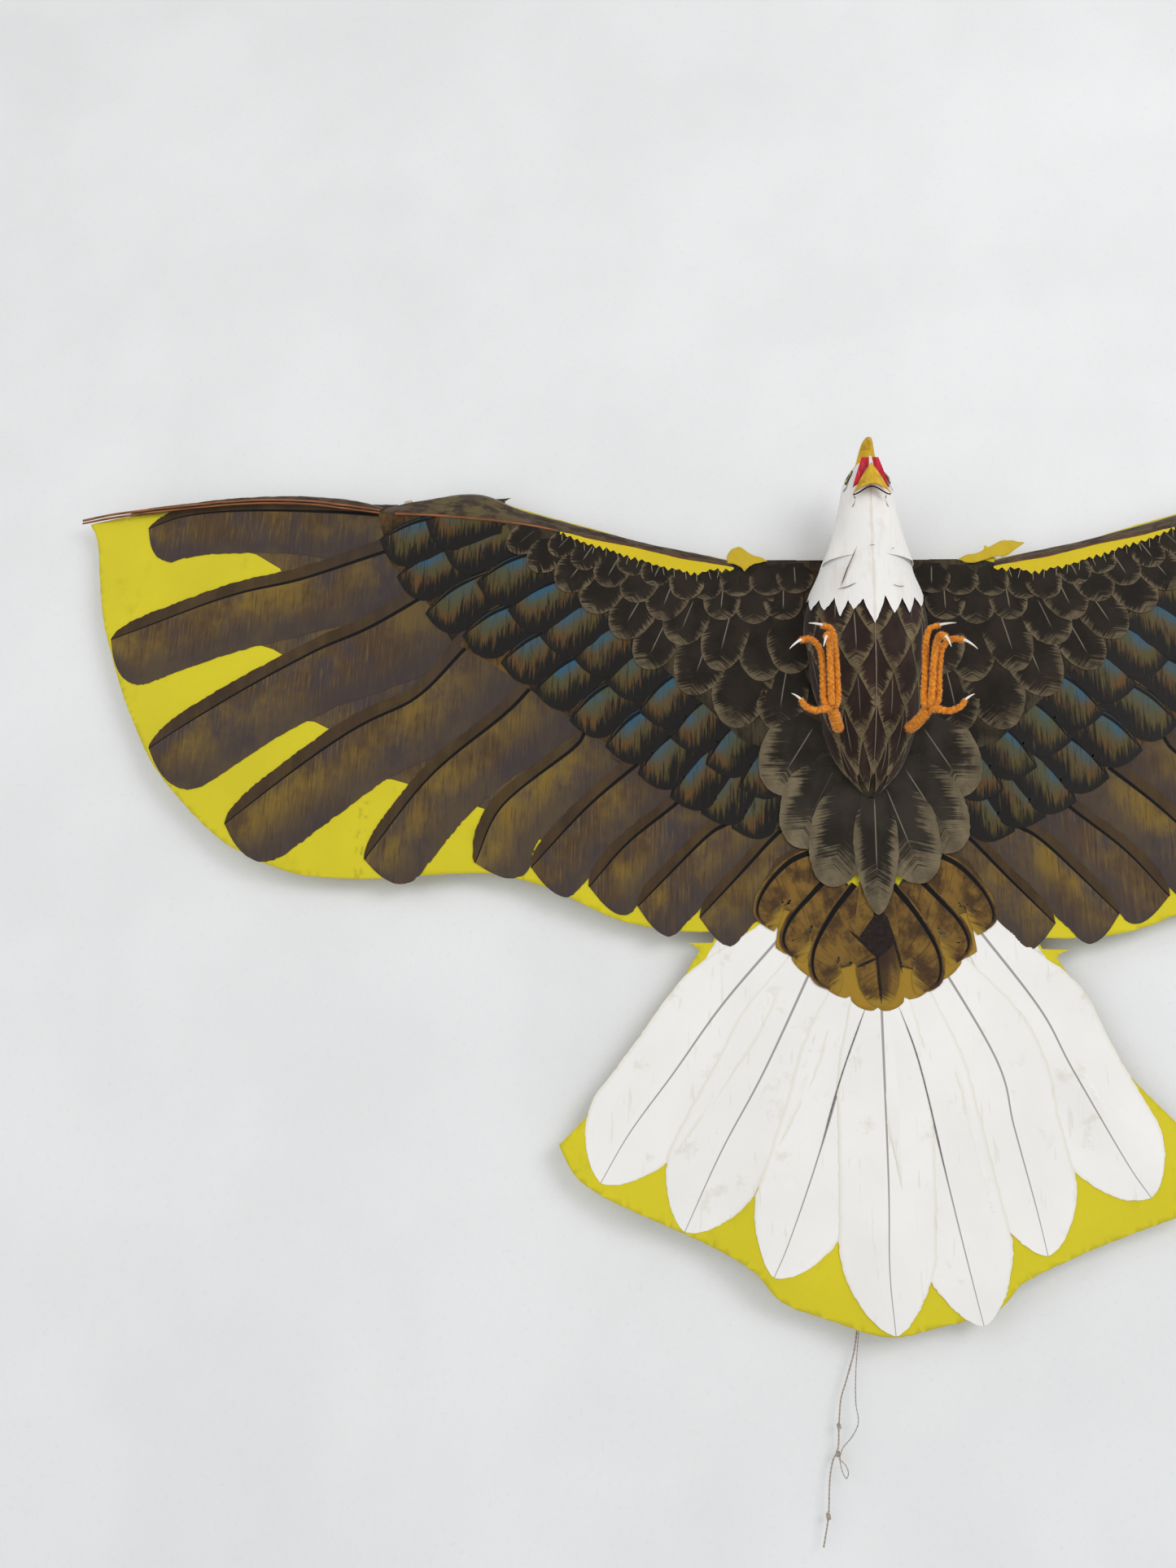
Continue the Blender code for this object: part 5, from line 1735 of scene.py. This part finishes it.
class KITE_OT_leading_edge(bpy.types.Operator):
    """Adds the wrapped wing spars, the torn yellow hem below them and the shoulder tabs"""

    bl_idname = "kite.leading_edge"
    bl_label = "Leading edge"

    def execute(self, context):
        coat = sizes().coat
        wrapped = self.wrap_finish()
        bare = cloth_finish("torn hem cloth", paint(214, 190, 36))
        loose = thread_finish("loose thread", paint(170, 156, 126))
        split = bamboo_finish("split bamboo strip", "X")
        for side, word in SIDES:
            tip = self.wrap(f"{word}_tip_hem", side, wrapped, TIP_TOP, TIP_LOW)
            strip = self.strip(f"{word}_tip_strip", side, split)
            for piece, slot in ((tip, "wing_tip_cloth"), (strip, "bamboo")):
                seat(piece, slot, f"{word}_wing_tip")
            piece = self.wrap(f"{word}_wrapped_spar", side, wrapped, WRAP_TOP, WRAP_LOW)
            seat(piece, "wrapped_spar", f"{word}_wing", f"{word}_upper_spar")
            hem = Coat()
            low = spline(STRIP_LOW, 0.0035)
            torn = []
            for i, p in enumerate(low):
                rag = 0.0032 * (0.5 + wobble(i * 1.37, seed=8.0)) if i % 2 else -0.0012
                torn.append((p.x, p.y - rag))
            top = [(x, z + 0.001) for x, z in WRAP_LOW if x > -0.279][::-1]
            loop = torn + [(-0.279, 0.031)] + top[::-1]
            hem.area(mirrored(loop, side), 12.4 * coat, 0.3, 0.005)
            bend_with(hem.piece(f"{word}_torn_hem", bare), False)
            threads = Coat()
            for i in range(15):
                x = -0.130 - 0.0105 * i
                z = hem_height(x)
                sway = 0.004 * wobble(i * 2.9, seed=9.0)
                strand = [(x, z + 0.001), (x + sway, z - 0.004), (x + 2 * sway, z - 0.009)]
                threads.stroke(mirrored(strand, side), 0.00022, 12.8 * coat)
            piece = threads.piece(f"{word}_loose_threads", loose)
            bend_with(piece, False)
            self.tab(side, word)
        return {"FINISHED"}

    def wrap(self, name, side, finish, high, foot):
        top = spline(mirrored(high, side), 0.004)
        low = spline(mirrored(foot, side), 0.004)
        rows = 96
        top_run, low_run = lengths(top), lengths(low)
        section = [(0.00, 0.0004), (-0.03, 0.0022), (0.10, 0.0036), (0.30, 0.0044), (0.52, 0.0052), (0.72, 0.0056),
                   (0.88, 0.0048), (0.98, 0.0026), (1.01, 0.0000), (0.97, -0.0034), (0.84, -0.0062),
                   (0.60, -0.0070), (0.42, -0.0062), (0.34, -0.0036), (0.32, -0.0006)]
        base = CLOTH_Y
        points, cut = [], []
        for i in range(rows + 1):
            share = i / rows
            a = part_way(top, top_run, share)[0]
            b = part_way(low, low_run, share)[0]
            ends = min(1.0, 0.25 + 10 * share, 0.45 + 10 * (1 - share))
            for k, (t, depth) in enumerate(section):
                flat = b.lerp(a, t)
                fold = 1 + 0.16 * wobble(share * 26.0, t * 3.0, seed=6.0) if depth > 0 else 1.0
                crease = 0.0005 * wobble(share * 60.0 - t * 5.0, t * 4.0, seed=7.0)
                y = base - depth * ends * fold - (crease if depth > 0.001 else 0.0)
                points.append((flat.x, y, flat.y))
                cut.append((flat.x, t, flat.y))
        faces = grid_faces(rows + 1, len(section), True)
        if side > 0:
            faces = [face[::-1] for face in faces]
        faces.append(tuple(range(len(section))) if side < 0 else tuple(range(len(section)))[::-1])
        last = tuple(rows * len(section) + k for k in range(len(section)))
        faces.append(last[::-1] if side < 0 else last)
        return make_piece(name, points, faces, finish, {"cut": cut})

    def strip(self, name, side, finish):
        """Two thin split strips that lie along the front of the wing tip's upper edge."""
        parts = []
        for drop, radius in ((0.0, 0.0011), (0.0032, 0.0008)):
            route = [(x, CLOTH_Y - 0.0062 * smooth_step(-0.745, -0.70, x), z - drop) for x, z in STRIP_ROUTE]
            path = spline([(-side * x, y, z) for x, y, z in route], 0.006)
            parts.append(sweep(path, lambda share, gone, angle:
                               radius * (1 + 0.15 * wobble(gone * 90.0, angle))))
        return make_piece(name, *merge(parts), finish)

    def tab(self, side, word):
        """The crumpled yellow corner of cloth folded over at the shoulder."""
        shape = CORNER[side]
        loop = soften(shape, 0.002, 0.0003)
        verts, faces = fill([loop], 0.0028)
        points, cut = [], []
        for x, z in verts:
            crumple = 0.0014 * wobble(x * 120.0, z * 120.0, seed=12.0)
            ridge = 0.0007 * math.sin((abs(x) - 0.9 * z) * 640.0)
            points.append((x, CLOTH_Y - 0.0034 - crumple - ridge, z))
            cut.append((x, 0.0, z))
        made = [face for _, _, face in faces]
        piece = make_piece(f"{word}_folded_corner", points, made, cloth_finish("folded corner cloth",
                                                                               paint(198, 170, 44)), {"cut": cut})
        thicken(piece, sizes().cloth)
        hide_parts(f"{word}_shoulder_tab")
        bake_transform(piece)

    def wrap_finish(self):
        made = Finish("wrapped cloth", 0.8, 0.3)
        place = made.place("cut")
        across = made.part(place, "Y")
        run = made.size(made.part(place, "X"))
        wide = made.grain(place, (60, 3, 60), 4.0, 0.6)
        colour = made.mix(made.step(wide, 0.38, 0.62), paint(62, 52, 44), paint(94, 80, 64))
        # painted highlight: olive patches laid along the peak of the arched roll
        peak = made.times(made.step(run, 0.30, 0.35), made.step(run, 0.43, 0.37))
        arch_highlight = made.times(peak, made.times(made.step(wide, 0.42, 0.55), 0.6))
        colour = made.mix(arch_highlight, colour, paint(100, 88, 48))
        rim = made.times(made.step(across, 0.34, 0.10), made.step(run, 0.27, 0.24))
        colour = made.mix(made.times(rim, 0.75), colour, paint(112, 72, 48))
        pale = made.times(made.step(across, 0.80, 1.0), 0.5)
        colour = made.mix(pale, colour, paint(112, 100, 86))
        streak = made.grain(place, (60, 9, 420), 4.0, 0.65)
        colour = made.wash(colour, paint(40, 34, 31), streak, 0.54, 0.66, 0.7)
        weave = made.grain(made.place(), (2600, 2600, 2600), 2.0)
        return made.coat(colour).bump(made.plus(streak, made.times(weave, 0.5)), 0.0004, 0.6).made


def hem_height(x):
    for (x0, z0), (x1, z1) in zip(STRIP_LOW, STRIP_LOW[1:]):
        if x1 <= x <= x0:
            return z0 + (z1 - z0) * (x - x0) / (x1 - x0)
    return STRIP_LOW[-1][1]


class KITE_OT_frame(bpy.types.Operator):
    """Gives the bamboo, the hanging block and the thread ties their materials"""

    bl_idname = "kite.frame"
    bl_label = "Sticks, block and ties"

    def execute(self, context):
        level = bamboo_finish("bamboo across", "X")
        upright = bamboo_finish("bamboo upright", "Z")
        wood = bamboo_finish("sawn block wood", "Z")
        thread = thread_finish("tie thread", paint(206, 188, 158))
        for name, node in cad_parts.items():
            if node.hide_render:
                continue
            if name == "hanging_block":
                finish = wood
            elif name.endswith("_tie"):
                finish = thread
            elif name in ("spine_stick", "tail_centre_stick", "tail_left_stick", "tail_right_stick"):
                finish = upright
            else:
                finish = level
            for place in node.material_slots:
                place.material = finish
            if not node.material_slots:
                node.data.materials.append(finish)
        return {"FINISHED"}


class KITE_OT_stage(bpy.types.Operator):
    """Adds the pale wall, the floor and the soft studio light"""

    bl_idname = "kite.stage"
    bl_label = "Wall, floor and light"

    def execute(self, context):
        wall = make_piece("wall", [(-3.0, 0.0008, -1.2), (3.0, 0.0008, -1.2),
                                   (3.0, 0.0008, 1.8), (-3.0, 0.0008, 1.8)],
                          [(0, 1, 2, 3)], self.wall_finish("wall paint"), smooth=False)
        floor = make_piece("floor", [(-3.0, -4.0, -1.2), (3.0, -4.0, -1.2),
                                     (3.0, 3.0, -1.2), (-3.0, 3.0, -1.2)],
                           [(0, 1, 2, 3)], self.wall_finish("floor paint"), smooth=False)
        for name, place, aim, wide, tall, power in (
                ("key", (1.35, -1.85, 0.50), (0.0, 0.0, -0.15), 1.3, 1.0, 21.0),
                ("fill", (-1.90, -2.10, 0.20), (-0.3, 0.0, -0.2), 2.4, 2.2, 19.0)):
            data = bpy.data.lights.new(name, "AREA")
            data.shape = "RECTANGLE"
            data.size = wide
            data.size_y = tall
            data.energy = power
            lamp = bpy.data.objects.new(name, data)
            lamp.location = place
            lamp.rotation_euler = (Vector(place) - Vector(aim)).to_track_quat("Z", "Y").to_euler()
            context.scene.collection.objects.link(lamp)
        world = bpy.data.worlds.new("room")
        world.use_nodes = True
        light = world.node_tree.nodes["Background"]
        light.inputs["Color"].default_value = (1.0, 1.0, 0.99, 1.0)
        light.inputs["Strength"].default_value = 0.52
        context.scene.world = world
        return {"FINISHED"}

    def wall_finish(self, name):
        made = Finish(name, 0.9)
        place = made.place()
        fine = made.grain(place, (220, 220, 220), 4.0, 0.6)
        broad = made.grain(place, (5, 5, 5), 3.0)
        colour = made.mix(made.step(broad, 0.3, 0.7), paint(231, 232, 233), paint(237, 238, 239))
        colour = made.wash(colour, paint(205, 206, 208), fine, 0.56, 0.7, 0.12)
        made.coat(colour).bump(fine, 0.0005, 0.35)
        nodes, links = made.made.node_tree.nodes, made.made.node_tree.links
        side = nodes.new("ShaderNodeNewGeometry")
        clear = nodes.new("ShaderNodeBsdfTransparent")
        choice = nodes.new("ShaderNodeMixShader")
        output = next(node for node in nodes if node.type == "OUTPUT_MATERIAL")
        shader = output.inputs["Surface"].links[0].from_socket
        links.new(side.outputs["Backfacing"], choice.inputs[0])
        links.new(shader, choice.inputs[1])
        links.new(clear.outputs[0], choice.inputs[2])
        links.new(choice.outputs[0], output.inputs["Surface"])
        return made.made


class KITE_PT_panel(bpy.types.Panel):
    """Lists the kite's pieces in the order they are made"""

    bl_idname = "KITE_PT_panel"
    bl_label = "Eagle kite"
    bl_space_type = "VIEW_3D"
    bl_region_type = "UI"
    bl_category = "Kite"

    def draw(self, context):
        column = self.layout.column()
        for operator in OPERATORS:
            column.operator(operator.bl_idname)
        for group in (context.scene.kite_sizes, context.scene.kite_colours):
            for name in group.__annotations__:
                column.prop(group, name)


OPERATORS = (KITE_OT_camera, KITE_OT_lines, KITE_OT_cloth, KITE_OT_flight_feathers, KITE_OT_coverts,
             KITE_OT_down,
             KITE_OT_tail, KITE_OT_belly, KITE_OT_body, KITE_OT_head, KITE_OT_beak, KITE_OT_legs,
             KITE_OT_leading_edge, KITE_OT_frame, KITE_OT_stage)
CLASSES = (KiteSizes, KiteColours, *OPERATORS, KITE_PT_panel)


def register():
    for item in CLASSES:
        bpy.utils.register_class(item)
    bpy.types.Scene.kite_sizes = bpy.props.PointerProperty(type=KiteSizes)
    bpy.types.Scene.kite_colours = bpy.props.PointerProperty(type=KiteColours)


def unregister():
    del bpy.types.Scene.kite_colours
    del bpy.types.Scene.kite_sizes
    for item in reversed(CLASSES):
        bpy.utils.unregister_class(item)


def main():
    register()
    for operator in OPERATORS:
        group, name = operator.bl_idname.split(".")
        done = getattr(getattr(bpy.ops, group), name)()
        if done != {"FINISHED"}:
            raise RuntimeError(f"{operator.bl_label} was not made")


if __name__ == "__main__":
    main()
